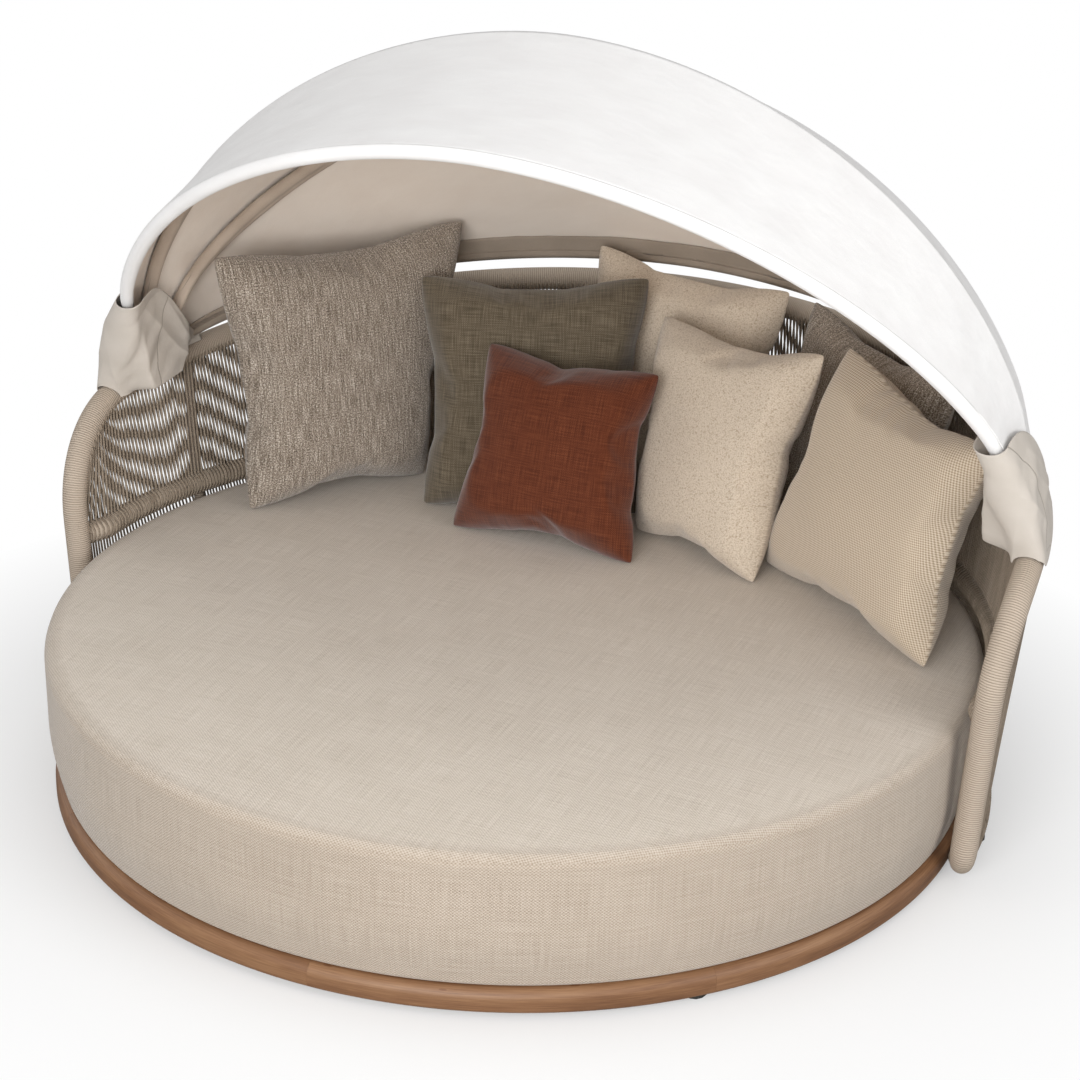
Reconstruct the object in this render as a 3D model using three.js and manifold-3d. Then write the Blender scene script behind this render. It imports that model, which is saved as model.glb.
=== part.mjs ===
// Round outdoor daybed with a folding canopy, in millimetres.
// +Z is up, +Y points to the back rest, +X to the right seen from the front.
// The origin is on the floor, under the centre of the mattress.
import * as THREE from 'three';
import { mergeVertices } from 'three/addons/utils/BufferGeometryUtils.js';
import Module from 'manifold-3d';

const wasm = await Module();
wasm.setup();

// Gaps between pieces
const seatGap = 0.3;
const cutOverrun = 20;

// Floor glides and the teak base ring
const glideHeight = 12;
const glideRadius = 25;
const glideEdge = 3;
const baseRadius = 996;
const baseWidth = 70;
const baseHeight = 50;
const baseTopRounding = 22;
const baseLowRounding = 9;
const baseSegments = 8;
const baseFirstJoint = -88.4;
const ringGlideCount = 4;
const centreFootRadius = 32;

// Aluminium sub-frame and the deck boards on it
const subframeWidth = 40;
const deckThickness = 12;
const deckSplit = 4;

// Mattress
const mattressOverhang = 7;
const mattressFootInset = 11;
const mattressEdgeHeight = 262;
const mattressEdgeRounding = 26;
const mattressFootRounding = 14;
const mattressCrown = 18;
const mattressSwellShare = 0.45;

// Rope-wrapped back frame, whose diameters are taken over the rope
const railDiameter = 55;
const midRailDiameter = 48;
const bottomRailDiameter = 44;
const bottomRailInset = 7.5;
const strutDiameter = 25;
const frameFootGap = 32;
const frameLeanShare = 0.0735;
const midRailGap = 27;
const midRailHeight = 369;
const midRailSetback = 92;
const railArmHeight = 640.4;
const railRiseShare = 0.134;
const cornerStart = 154;
const postBulge = 102;
const postFootSetback = 100;
const postOutset = 14;
const cornerFootHeight = 420;
const strutInset = 6;
const strutAngles = [-72, -36, 0, 36, 72];
const frameStrapAngles = [-62, 0, 62];
const frameGlideAngles = [-84, -28, 28, 84];
const strapWidth = 50;
const strapThickness = 5;
const strapPast = 15;

// Rope nets of the back rest
const ropeThickness = 5;
const ropeRunWidth = 22;
const netRunCount = 76;
const innerNetAngle = 91.6;
const outerNetAngle = 93;
const innerNetOffset = 23.5;
const outerNetOffset = 11;
const innerNetLowOffset = 5;

// Canopy hoops, which all turn about one axis along X
const pivotSetback = 172;
const pivotRise = 34;
const hoopRailInset = 20;
const outerLaneInset = 4;
const innerLaneInset = 32;
const laneStagger = 2;
const hoopDiameter = 24;
const hoopStart = 100;
const hoopLaneLength = 300;
const bossRadius = 17;
const bossPitch = 12;
const hubRailGap = 0.5;
const armWidth = 20;
const armThickness = 6;
const armLap = 14;
const hoops = [
  {
    name: 'rear_hoop', angle: 13, reachShare: 0.803, curveShare: 1.9,
    laneInset: outerLaneInset, boss: 3, armShare: 1,
  },
  {
    name: 'lower_hoop', angle: 57, reachShare: 0.817, curveShare: 1.73,
    laneInset: innerLaneInset, boss: 1, armShare: 0,
  },
  {
    name: 'upper_hoop', angle: 91.5, reachShare: 0.834, curveShare: 1.9,
    laneInset: outerLaneInset + laneStagger, boss: 2, armShare: 1,
  },
  {
    name: 'front_hoop', angle: 122.5, reachShare: 0.836, curveShare: 1.87,
    laneInset: innerLaneInset + laneStagger, boss: 0, armShare: 1,
  },
];

// Pivot hardware
const boltRadius = 5;
const boltHeadRadius = 7.5;
const boltHeadThickness = 5;
const nutRadius = 10;
const nutThickness = 8;
const bracketThickness = 6;
const bracketWidth = 56;
const bracketTop = 24;
const bracketFoot = 42;

// Canopy cloth
const clothThickness = 3;
const clothStandoff = 16.2;
const clothStart = 128;
const clothFold = 5;
const clothFoldCount = 4;

// Side pockets that cover the hubs
const pocketThickness = 4;
const pocketHemNose = 62;
const pocketTopNose = 14;
const pocketBack = 360;
const pocketHemDrop = 4;
const pocketHemFrom = 110;
const pocketRailGap = 5.2;
const pocketFrontRise = 196;
const pocketBackRise = 30;
const pocketRimCurve = 1.5;
const pocketRimHump = 50;
const pocketRimHumpShare = 0.7;
const pocketHubGap = 11;
const pocketInnerGap = 22;
const pocketOuterGap = 22;
const pocketHubHalf = 55;
const pocketHubFade = 60;
const pocketHubTuck = 9;
const pocketSideTuckShare = 0.7;
const pocketRowCrowding = 2;
const pocketOuterDip = 6;
const pocketOuterCurve = 1.1;
const pocketNoseShare = 0.25;
const pocketFold = 4;

// Pillows. Sides, depths and seats are shares of the mattress radius. Corners are shares of the
// pillow's side, across and up the leaning pillow: low left, low right, top right, top left.
const pillowEdge = 5;
const pillowDrawShare = 0.1;
const pillowCrownShare = 0.55;
const pillows = [
  {
    name: 'pillow_tweed_left', look: 'tweed', sideShare: 0.638, depthShare: 0.169, turn: 56, lean: 6,
    seatShare: [-0.655, 0.425],
    cornerShares: [[-0.39, 0.0], [0.37, 0.0], [0.6, 0.98], [-0.46, 0.98]],
  },
  {
    name: 'pillow_olive', look: 'olive', sideShare: 0.548, depthShare: 0.130, turn: 20, lean: 14,
    seatShare: [-0.19, 0.52],
    cornerShares: [[-0.49, 0.0], [0.47, 0.0], [0.47, 1.04], [-0.53, 1.01]],
  },
  {
    name: 'pillow_rust', look: 'rust', sideShare: 0.449, depthShare: 0.120, turn: -2, lean: 20,
    seatShare: [-0.08, 0.33],
    cornerShares: [[-0.54, 0.0], [0.5, 0.0], [0.47, 0.98], [-0.5, 0.99]],
  },
  {
    name: 'pillow_boucle_front', look: 'boucle', sideShare: 0.518, depthShare: 0.140, turn: -26, lean: 18,
    seatShare: [0.25, 0.43],
    cornerShares: [[-0.39, 0.0], [0.37, 0.0], [0.4, 1.05], [-0.58, 0.97]],
  },
  {
    name: 'pillow_weave_right', look: 'weave', sideShare: 0.578, depthShare: 0.140, turn: -38, lean: 14,
    seatShare: [0.65, 0.285],
    cornerShares: [[-0.56, 0.0], [0.5, 0.0], [0.51, 0.85], [-0.42, 0.95]],
  },
  {
    name: 'pillow_boucle_back', look: 'boucle', sideShare: 0.518, depthShare: 0.130, turn: -4, lean: 13,
    seatShare: [0.045, 0.75],
    cornerShares: [[-0.45, 0.0], [0.45, 0.0], [0.5, 1.06], [-0.49, 1.13]],
  },
  {
    name: 'pillow_tweed_right', look: 'tweed', sideShare: 0.528, depthShare: 0.110, turn: -33, lean: 12,
    seatShare: [0.51, 0.67],
    cornerShares: [[-0.46, 0.0], [0.46, 0.0], [0.5, 0.9], [-0.5, 0.99]],
  },
];

// Finishes
const looks = {
  teak: { color: 0xa9713f, roughness: 0.55, metalness: 0 },
  alloy: { color: 0x8a8178, roughness: 0.45, metalness: 0.6 },
  steel: { color: 0xb9bcc0, roughness: 0.3, metalness: 0.9 },
  glide: { color: 0x2b2a28, roughness: 0.8, metalness: 0 },
  board: { color: 0x6f665c, roughness: 0.8, metalness: 0 },
  rope: { color: 0x8b7d6e, roughness: 0.95, metalness: 0 },
  mattress: { color: 0xc9beae, roughness: 0.95, metalness: 0 },
  canopy: { color: 0xf4f2ee, roughness: 0.9, metalness: 0 },
  tweed: { color: 0x857a6e, roughness: 1, metalness: 0 },
  olive: { color: 0x6a5f4f, roughness: 1, metalness: 0 },
  rust: { color: 0x8f3f1f, roughness: 1, metalness: 0 },
  boucle: { color: 0xd9cdbc, roughness: 1, metalness: 0 },
  weave: { color: 0xbfb19c, roughness: 1, metalness: 0 },
};

// Facets
const arcSteps = 6;
const railSteps = 34;
const railSides = 8;
const railSpanCount = 24;
const cornerSpanCount = 6;
const legSpanCount = 4;
const lineSteps = 800;
const postSteps = 14;
const hoopSteps = 34;
const hoopSides = 8;
const roundSides = 12;
const subframeSteps = 24;
const mattressSides = 48;
const clothSteps = 34;
const clothRowCount = 3;
const pocketSteps = 22;
const pocketRowCount = 4;
const pillowGridCount = 8;

const bed = new THREE.Group();
const degrees = Math.PI / 180;

/** Adds one named piece with its finish. */
function place(name, geometry, look) {
  const piece = new THREE.Mesh(geometry, new THREE.MeshStandardMaterial(looks[look]));
  piece.name = name;
  bed.add(piece);
  return piece;
}

/** A geometry whose shared corners are one vertex each, with positions only. */
function welded(geometry) {
  const bare = geometry.index ? geometry.toNonIndexed() : geometry.clone();
  for (const attribute of Object.keys(bare.attributes)) {
    if (attribute !== 'position') bare.deleteAttribute(attribute);
  }
  return mergeVertices(bare);
}

/** A solid for joining and cutting. */
function solid(geometry) {
  const mesh = welded(geometry);
  return new wasm.Manifold(new wasm.Mesh({
    numProp: 3,
    vertProperties: new Float32Array(mesh.attributes.position.array),
    triVerts: new Uint32Array(mesh.index.array),
  }));
}

/** The geometry of a joined or cut solid. */
function shapeOf(body) {
  const mesh = body.getMesh();
  const geometry = new THREE.BufferGeometry();
  const points = new Float32Array(mesh.vertProperties);
  geometry.setAttribute('position', new THREE.BufferAttribute(points, mesh.numProp));
  geometry.setIndex(new THREE.BufferAttribute(new Uint32Array(mesh.triVerts), 1));
  return geometry;
}

/** A piece with each of the given geometries cut away from it. */
function cut(geometry, ...tools) {
  return shapeOf(tools.reduce((body, tool) => body.subtract(solid(tool)), solid(geometry)));
}

/** Pieces joined into one. */
function joined(...geometries) {
  return shapeOf(geometries.map(solid).reduce((body, other) => body.add(other)));
}

/** A closed body through rings of points that all run the same way, with its two ends closed. */
function lofted(rings) {
  const count = rings[0].length;
  const points = rings.flat();
  const faces = [];
  for (let ring = 0; ring + 1 < rings.length; ring += 1) {
    for (let k = 0; k < count; k += 1) {
      const next = (k + 1) % count;
      const a = ring * count + k;
      const b = ring * count + next;
      faces.push(a, b, b + count, a, b + count, a + count);
    }
  }
  const last = (rings.length - 1) * count;
  for (let k = 1; k + 1 < count; k += 1) {
    faces.push(0, k + 1, k, last, last + k, last + k + 1);
  }
  const geometry = new THREE.BufferGeometry().setFromPoints(points);
  geometry.setIndex(faces);
  return outward(geometry);
}

/** The same body with its faces turned outwards. */
function outward(geometry) {
  const p = geometry.attributes.position;
  const index = geometry.index.array;
  const [a, b, c] = [new THREE.Vector3(), new THREE.Vector3(), new THREE.Vector3()];
  let volume = 0;
  for (let k = 0; k < index.length; k += 3) {
    a.fromBufferAttribute(p, index[k]);
    b.fromBufferAttribute(p, index[k + 1]);
    c.fromBufferAttribute(p, index[k + 2]);
    volume += a.dot(b.cross(c));
  }
  if (volume < 0) {
    for (let k = 0; k < index.length; k += 3) {
      [index[k + 1], index[k + 2]] = [index[k + 2], index[k + 1]];
    }
  }
  return geometry;
}

/** A closed sheet: point(u, v, side) gives its two faces, and its rim joins them. */
function closedSheet(columns, rows, point) {
  const points = [];
  for (const side of [0, 1]) {
    for (let j = 0; j <= rows; j += 1) {
      for (let i = 0; i <= columns; i += 1) points.push(point(i / columns, j / rows, side));
    }
  }
  const wide = columns + 1;
  const half = wide * (rows + 1);
  const faces = [];
  const quad = (a, b, c, d) => faces.push(a, b, c, a, c, d);
  for (let j = 0; j < rows; j += 1) {
    for (let i = 0; i < columns; i += 1) {
      const a = j * wide + i;
      quad(a, a + 1, a + 1 + wide, a + wide);
      quad(half + a, half + a + wide, half + a + wide + 1, half + a + 1);
    }
  }
  const rim = [];
  for (let i = 0; i < columns; i += 1) rim.push(i);
  for (let j = 0; j < rows; j += 1) rim.push(j * wide + columns);
  for (let i = columns; i > 0; i -= 1) rim.push(rows * wide + i);
  for (let j = rows; j > 0; j -= 1) rim.push(j * wide);
  rim.forEach((a, k) => {
    const b = rim[(k + 1) % rim.length];
    quad(a, half + a, half + b, b);
  });
  const geometry = new THREE.BufferGeometry().setFromPoints(points);
  geometry.setIndex(faces);
  return outward(geometry);
}

/** A place given by its angle from the back, its distance from the centre and its height. */
function around(angle, radius, height) {
  const a = angle * degrees;
  return new THREE.Vector3(radius * Math.sin(a), radius * Math.cos(a), height);
}

/** A bar of the given section, a list of [radius, height], bent round the centre. */
function bentBar(section, from, to, steps) {
  const rings = [];
  for (let k = 0; k <= steps; k += 1) {
    const angle = from + ((to - from) * k) / steps;
    rings.push(section.map(([radius, height]) => around(angle, radius, height)));
  }
  return lofted(rings);
}

/** A round tube along a smooth line. */
function tubeAlong(line, radius, steps, sides) {
  const section = new THREE.Shape();
  for (let k = 0; k < sides; k += 1) {
    const a = (2 * Math.PI * k) / sides;
    const corner = [radius * Math.cos(a), radius * Math.sin(a)];
    if (k === 0) section.moveTo(...corner);
    else section.lineTo(...corner);
  }
  return new THREE.ExtrudeGeometry(section, { steps, extrudePath: line, bevelEnabled: false });
}

/** A smooth line through the points. */
function smooth(points) {
  return new THREE.CatmullRomCurve3(points);
}

/** Straight mixing of two numbers. */
function mix(from, to, share) {
  return from + (to - from) * share;
}

/** A disc or short cylinder standing on the given height. */
function disc(radius, height, sides) {
  const geometry = new THREE.CylinderGeometry(radius, radius, height, sides);
  geometry.rotateX(Math.PI / 2);
  geometry.translate(0, 0, height / 2);
  return geometry;
}

/** A round bar along X. */
function barAlongX(radius, from, to, y, z, sides) {
  const geometry = new THREE.CylinderGeometry(radius, radius, Math.abs(to - from), sides);
  geometry.rotateZ(Math.PI / 2);
  geometry.translate((from + to) / 2, y, z);
  return geometry;
}

/** A box between two corners. */
function block(low, high) {
  const size = high.map((value, k) => value - low[k]);
  const geometry = new THREE.BoxGeometry(...size);
  geometry.translate(...high.map((value, k) => (value + low[k]) / 2));
  return geometry;
}

/** Moves a geometry made at the back, at angle 0, to its own angle round the centre. */
function turned(geometry, angle) {
  return geometry.rotateZ(-angle * degrees);
}

// Sizes that follow from the ones above
const baseBottom = glideHeight;
const baseTop = baseBottom + baseHeight;
const deckBottom = baseTop - deckThickness;
const mattressBottom = baseTop + seatGap;
const mattressRadius = baseRadius + mattressOverhang;
const mattressFootRadius = baseRadius - mattressFootInset;
const railRadius = railDiameter / 2;
const frameFootRadius = baseRadius + frameFootGap;
const frameFootHeight = glideHeight + railRadius;
const bottomRailRadius = frameFootRadius - bottomRailInset;
const bottomRailHeight = glideHeight + bottomRailDiameter / 2;
const midRailRadius = mattressRadius + midRailGap;
const subframeFaceting = Math.cos(Math.PI / 2 / subframeSteps);
const teakFaceting = Math.cos(Math.PI / baseSegments / arcSteps);
const subframeOuter = (baseRadius - baseWidth) * teakFaceting - seatGap;
const subframeInner = subframeOuter - subframeWidth;

// The hub stack ends at the bracket, which lies against the inner side of the top rail
const pivotHeight = railHeight(pivotSetback) + pivotRise;
const railAtPivot = framePoint(1, pivotSetback, railHeight(pivotSetback), 0).x;
const bracketOuter = railAtPivot - railRadius - hubRailGap;
const stackEnd = bracketOuter - bracketThickness - seatGap;
const hubInnerFace = stackEnd - hoops.length * bossPitch;
const hoopHalfWidth = railAtPivot - hoopRailInset;

/** How far the back frame's middle surface stands from the centre at a height. */
function frameRadius(height) {
  return frameFootRadius + frameLeanShare * (height - frameFootHeight);
}

/** A smooth step from 0 to 1. */
function ease(share) {
  const s = Math.min(1, Math.max(0, share));
  return s * s * (3 - 2 * s);
}

// Base: teak ring, sub-frame, deck, glides
function teakSection() {
  const outer = baseRadius;
  const inner = baseRadius - baseWidth;
  const points = [[inner, baseBottom]];
  const rounding = (cx, cz, r, from, parts) => {
    for (let k = 0; k <= parts; k += 1) {
      const a = (from + (90 * k) / parts) * degrees;
      points.push([cx + r * Math.cos(a), cz + r * Math.sin(a)]);
    }
  };
  rounding(outer - baseLowRounding, baseBottom + baseLowRounding, baseLowRounding, -90, 2);
  rounding(outer - baseTopRounding, baseTop - baseTopRounding, baseTopRounding, 0, 3);
  points.push([inner, baseTop]);
  return points;
}

function makeBase() {
  const segment = 360 / baseSegments;
  const jointAngle = Math.asin(seatGap / 2 / baseRadius) / degrees;
  for (let k = 0; k < baseSegments; k += 1) {
    const from = 90 - baseFirstJoint - segment * (k + 1) + jointAngle;
    const to = from + segment - 2 * jointAngle;
    place(`teak_ring_${k + 1}`, bentBar(teakSection(), from, to, arcSteps), 'teak');
  }
  const bar = [
    [subframeInner, baseBottom], [subframeOuter, baseBottom],
    [subframeOuter, deckBottom - seatGap], [subframeInner, deckBottom - seatGap],
  ];
  const outline = [...bar, bar[0]].map(([x, y]) => new THREE.Vector2(x, y));
  const ring = new THREE.LatheGeometry(outline, subframeSteps * 2).rotateX(Math.PI / 2);
  place('subframe_ring', outward(welded(ring)), 'alloy');

  const halfBeam = subframeWidth / 2;
  const beamEnd = subframeInner * subframeFaceting - 2 * seatGap;
  const beamTop = deckBottom - seatGap;
  const beamLow = baseBottom;
  place('cross_beam', block([-beamEnd, -halfBeam, beamLow], [beamEnd, halfBeam, beamTop]), 'alloy');
  const halfFrom = halfBeam + seatGap;
  const front = block([-halfBeam, -beamEnd, beamLow], [halfBeam, -halfFrom, beamTop]);
  const back = block([-halfBeam, halfFrom, beamLow], [halfBeam, beamEnd, beamTop]);
  place('half_beam_front', front, 'alloy');
  place('half_beam_back', back, 'alloy');

  const boardRadius = subframeOuter;
  for (const [name, side] of [['deck_board_right', 1], ['deck_board_left', -1]]) {
    const outline = new THREE.Shape();
    const reach = Math.acos(deckSplit / 2 / boardRadius);
    outline.absarc(0, 0, boardRadius * subframeFaceting, -reach, reach, false);
    const depth = deckThickness;
    const board = new THREE.ExtrudeGeometry(outline, { depth, bevelEnabled: false, curveSegments: 32 });
    if (side < 0) board.rotateZ(Math.PI);
    board.translate(0, 0, deckBottom);
    place(name, board, 'board');
  }

  const glide = () => {
    const profile = [
      [0, 0], [glideRadius - glideEdge, 0], [glideRadius, glideEdge],
      [glideRadius, glideHeight - seatGap], [0, glideHeight - seatGap],
    ].map(([x, y]) => new THREE.Vector2(x, y));
    const geometry = new THREE.LatheGeometry(profile, roundSides);
    return geometry.rotateX(Math.PI / 2);
  };
  for (let k = 0; k < ringGlideCount; k += 1) {
    const at = around((360 / ringGlideCount) * (k + 0.5), baseRadius - baseWidth / 2, 0);
    place(`ring_glide_${k + 1}`, glide().translate(at.x, at.y, 0), 'glide');
  }
  frameGlideAngles.forEach((angle, k) => {
    const at = around(angle, bottomRailRadius, 0);
    place(`frame_glide_${k + 1}`, glide().translate(at.x, at.y, 0), 'glide');
  });
  place('centre_foot', disc(centreFootRadius, glideHeight - seatGap, roundSides), 'glide');
}

// Mattress: drawn-in foot, swelling side, rounded edge and crowned top
function makeMattress() {
  const low = mattressBottom;
  const footTop = low + mattressFootRounding;
  const edge = low + mattressEdgeHeight;
  const round = mattressEdgeRounding;
  const profile = [[0, low], [mattressFootRadius - mattressFootRounding, low]];
  for (let k = 0; k <= 4; k += 1) {
    const share = k / 4;
    const swell = Math.sin(Math.min(1, share / mattressSwellShare) * Math.PI / 2);
    const radius = mattressFootRadius + (mattressRadius - mattressFootRadius) * swell;
    profile.push([radius, footTop + (edge - footTop) * share]);
  }
  let rim = mattressRadius;
  let rimHeight = edge;
  for (const angle of [25, 50, 68]) {
    rim = mattressRadius - round + round * Math.cos(angle * degrees);
    rimHeight = edge + round * Math.sin(angle * degrees);
    profile.push([rim, rimHeight]);
  }
  for (const share of [0.94, 0.8, 0.5, 0]) {
    profile.push([rim * share, rimHeight + mattressCrown * (1 - share ** 4)]);
  }
  const outline = profile.map(([x, y]) => new THREE.Vector2(x, y));
  const geometry = new THREE.LatheGeometry(outline, mattressSides).rotateX(Math.PI / 2);
  place('mattress', outward(welded(geometry)), 'mattress');
  return profile.slice(-5).reverse();
}

// Back frame
/** Height of the top rail's centre line at a distance behind the centre. */
function railHeight(setback) {
  if (setback >= cornerStart) return railArmHeight + railRiseShare * setback;
  const top = railArmHeight + railRiseShare * cornerStart;
  const share = (cornerStart - setback) / (cornerStart + postBulge);
  return cornerFootHeight + (top - cornerFootHeight) * Math.sqrt(1 - share * share);
}

/** Slope of the top rail's centre line there. */
function railSlope(setback) {
  if (setback >= cornerStart) return railRiseShare;
  const top = railArmHeight + railRiseShare * cornerStart;
  const run = cornerStart + postBulge;
  const share = (cornerStart - setback) / run;
  return ((top - cornerFootHeight) / run) * share / Math.sqrt(1 - share * share);
}

/** A point of the frame on the right, side 1, or the left, side -1, outside its middle surface. */
function framePoint(side, setback, height, outset) {
  const radius = frameRadius(height) + outset;
  return new THREE.Vector3(side * Math.sqrt(radius * radius - setback * setback), setback, height);
}

/** The top rail's centre at an angle from the back. */
function railCentre(angle) {
  const lean = frameLeanShare;
  const cosine = Math.cos(angle * degrees);
  let radius = frameRadius(railArmHeight);
  for (let k = 0; k < 6; k += 1) {
    radius = frameFootRadius + lean * (railHeight(radius * cosine) - frameFootHeight);
  }
  return { radius, height: railHeight(radius * cosine), slope: railSlope(radius * cosine) };
}

/** The centre line of one arm post, from the top of its corner down past its foot. */
function postPoints(side) {
  const points = [];
  const run = cornerStart + postBulge;
  const top = railHeight(cornerStart);
  const stand = (setback, height) => {
    const outset = (postOutset * (top - height)) / (top - frameFootHeight);
    points.push(framePoint(side, setback, height, outset));
  };
  for (let k = 0; k <= cornerSpanCount; k += 1) {
    const setback = cornerStart - run * Math.sin((k / (cornerSpanCount + 0.2)) * Math.PI / 2);
    stand(setback, railHeight(setback));
  }
  for (let k = 0; k <= legSpanCount; k += 1) {
    const share = k / legSpanCount;
    stand(mix(-postBulge, -postFootSetback, share), mix(cornerFootHeight, 0, share));
  }
  return points;
}

/** The whole top line of the frame: left post, rail and right post. */
function frameLine() {
  const end = Math.acos(cornerStart / frameRadius(railHeight(cornerStart))) / degrees;
  const rail = [];
  for (let k = 1; k < railSpanCount; k += 1) {
    const angle = mix(-end, end, k / railSpanCount);
    const { radius, height } = railCentre(angle);
    rail.push(around(angle, radius, height));
  }
  const line = smooth([...postPoints(-1).reverse(), ...rail, ...postPoints(1)]);
  line.arcLengthDivisions = lineSteps;
  return line;
}

/** Part of a longer line, between two shares of its length. */
class Stretch extends THREE.Curve {
  constructor(whole, from, to) {
    super();
    Object.assign(this, { whole, from, to });
  }

  getPoint(t) {
    return this.whole.getPointAt(mix(this.from, this.to, t));
  }
}

/** An arc round the centre, to the same angle on both sides. */
class Arc extends THREE.Curve {
  constructor(radius, height, end) {
    super();
    Object.assign(this, { radius, height, end });
  }

  getPoint(t) {
    return around(mix(-this.end, this.end, t), this.radius, this.height);
  }
}

/** A flat rope strand that runs up and down between two lines, angle by angle. */
function net(end, low, top) {
  const half = ropeRunWidth / 2;
  const rings = [];
  for (let k = 0; k < netRunCount; k += 1) {
    const share = (2 * k) / (netRunCount - 1) - 1;
    const up = k % 2 === 0;
    for (const atTop of up ? [false, true] : [true, false]) {
      const angle = share * end;
      const start = atTop ? top(angle) : low(angle);
      const inwards = atTop ? -half : half;
      const corner = (across, height, radial) => {
        const radius = start.radius + radial;
        return around(angle + across / radius / degrees, radius, start.height + height);
      };
      // The link to the next run leaves this corner towards larger angles, the link from the
      // run before arrives from smaller ones
      const linkAhead = up === atTop;
      const left = up ? -half : half;
      const leftHeight = inwards + (linkAhead === (left < 0) ? -inwards : inwards);
      const rightHeight = inwards + (linkAhead === (left < 0) ? inwards : -inwards);
      rings.push([
        corner(left, leftHeight, ropeThickness / 2), corner(-left, rightHeight, ropeThickness / 2),
        corner(-left, rightHeight, -ropeThickness / 2), corner(left, leftHeight, -ropeThickness / 2),
      ]);
    }
  }
  return lofted(rings);
}

function makeFrame() {
  const line = frameLine();
  let [low, high] = [0, 1 / 2];
  for (let k = 0; k < 40; k += 1) {
    const middle = (low + high) / 2;
    if (line.getPointAt(middle).y < cornerStart) low = middle;
    else high = middle;
  }
  const gapShare = seatGap / 2 / line.getLength();
  const rail = new Stretch(line, high + gapShare, 1 - high - gapShare);
  const posts = [new Stretch(line, 0, high - gapShare), new Stretch(line, 1 - high + gapShare, 1)];
  const swollen = railRadius + seatGap;
  const wide = baseRadius * 2;
  const floor = block([-wide, -wide, -wide], [wide, wide, glideHeight]);
  const postTubes = posts.map((post) => tubeAlong(post, railRadius, postSteps, railSides));
  const postCuts = posts.map((post) => tubeAlong(post, swollen, postSteps, railSides));
  const railCut = tubeAlong(rail, swollen, railSteps, railSides);
  place('top_rail', tubeAlong(rail, railRadius, railSteps, railSides), 'rope');
  place('post_left', cut(postTubes[0], floor), 'rope');
  place('post_right', cut(postTubes[1], floor), 'rope');

  const footEnd = 90 + Math.asin(postFootSetback / bottomRailRadius) / degrees;
  const foot = new Arc(bottomRailRadius, bottomRailHeight, footEnd);
  const footTube = tubeAlong(foot, bottomRailDiameter / 2, railSteps, railSides);
  const footCut = tubeAlong(foot, bottomRailDiameter / 2 + seatGap, railSteps, railSides);
  place('bottom_rail', cut(footTube, ...postCuts), 'rope');

  const midEnd = 90 + Math.asin(midRailSetback / midRailRadius) / degrees;
  const middle = new Arc(midRailRadius, midRailHeight, midEnd);
  const midTube = tubeAlong(middle, midRailDiameter / 2, railSteps, railSides);
  const midCut = tubeAlong(middle, midRailDiameter / 2 + seatGap, railSteps, railSides);
  place('mid_rail', cut(midTube, ...postCuts), 'rope');

  strutAngles.forEach((angle, k) => {
    const { radius, height } = railCentre(angle);
    const from = around(angle, bottomRailRadius, bottomRailHeight);
    const strut = tubeAlong(
      new THREE.LineCurve3(from, around(angle, radius - strutInset, height)),
      strutDiameter / 2, 1, railSides,
    );
    place(`strut_${k + 1}`, cut(strut, railCut, footCut, midCut), 'rope');
  });

  const strapFrom = subframeInner + subframeWidth / 4;
  const strapTop = glideHeight - seatGap;
  const strapLow = strapTop - strapThickness;
  frameStrapAngles.forEach((angle, k) => {
    const halfStrap = strapWidth / 2;
    const strapTo = bottomRailRadius + strapPast;
    const strap = block([-halfStrap, strapFrom, strapLow], [halfStrap, strapTo, strapTop]);
    place(`frame_strap_${k + 1}`, turned(strap, angle), 'alloy');
  });

  const half = ropeRunWidth / 2;
  const clearance = (radius, offset) => {
    const beside = offset - ropeThickness / 2;
    return Math.sqrt((radius + seatGap) ** 2 - beside * beside);
  };
  const centres = line.getSpacedPoints(lineSteps);
  const nearLine = (point) => centres.some((c) => c.distanceTo(point) < swollen + seatGap);
  const underRail = (angle, inwards) => {
    const { height } = railCentre(angle);
    let top = height - clearance(railRadius, Math.abs(inwards));
    const out = frameRadius(top) - inwards;
    const face = out + Math.sign(inwards) * (ropeThickness / 2);
    const turn = half / out / degrees;
    while ([-turn, turn].some((a) => nearLine(around(angle + a, face, top)))) top -= seatGap;
    return { radius: out, height: top };
  };
  const onMiddle = () => ({
    radius: midRailRadius - innerNetLowOffset,
    height: midRailHeight + clearance(midRailDiameter / 2, innerNetLowOffset),
  });
  const onFoot = () => {
    const height = bottomRailHeight + clearance(bottomRailDiameter / 2, outerNetOffset + bottomRailInset);
    return { radius: frameRadius(height) + outerNetOffset, height };
  };
  const inner = net(innerNetAngle, onMiddle, (angle) => underRail(angle, innerNetOffset));
  const outer = net(outerNetAngle, onFoot, (angle) => underRail(angle, -outerNetOffset));
  place('rope_net_inner', inner, 'rope');
  place('rope_net_outer', outer, 'rope');
  return railCut;
}

// Canopy hoops
/** Half the width of a hoop's oval at a distance from the pivot axis. */
function hoopWidth(hoop, distance) {
  const reach = hoop.reachShare * hoopHalfWidth;
  const curve = hoop.curveShare;
  return hoopHalfWidth * (1 - (distance / reach) ** curve) ** (1 / curve);
}

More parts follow.
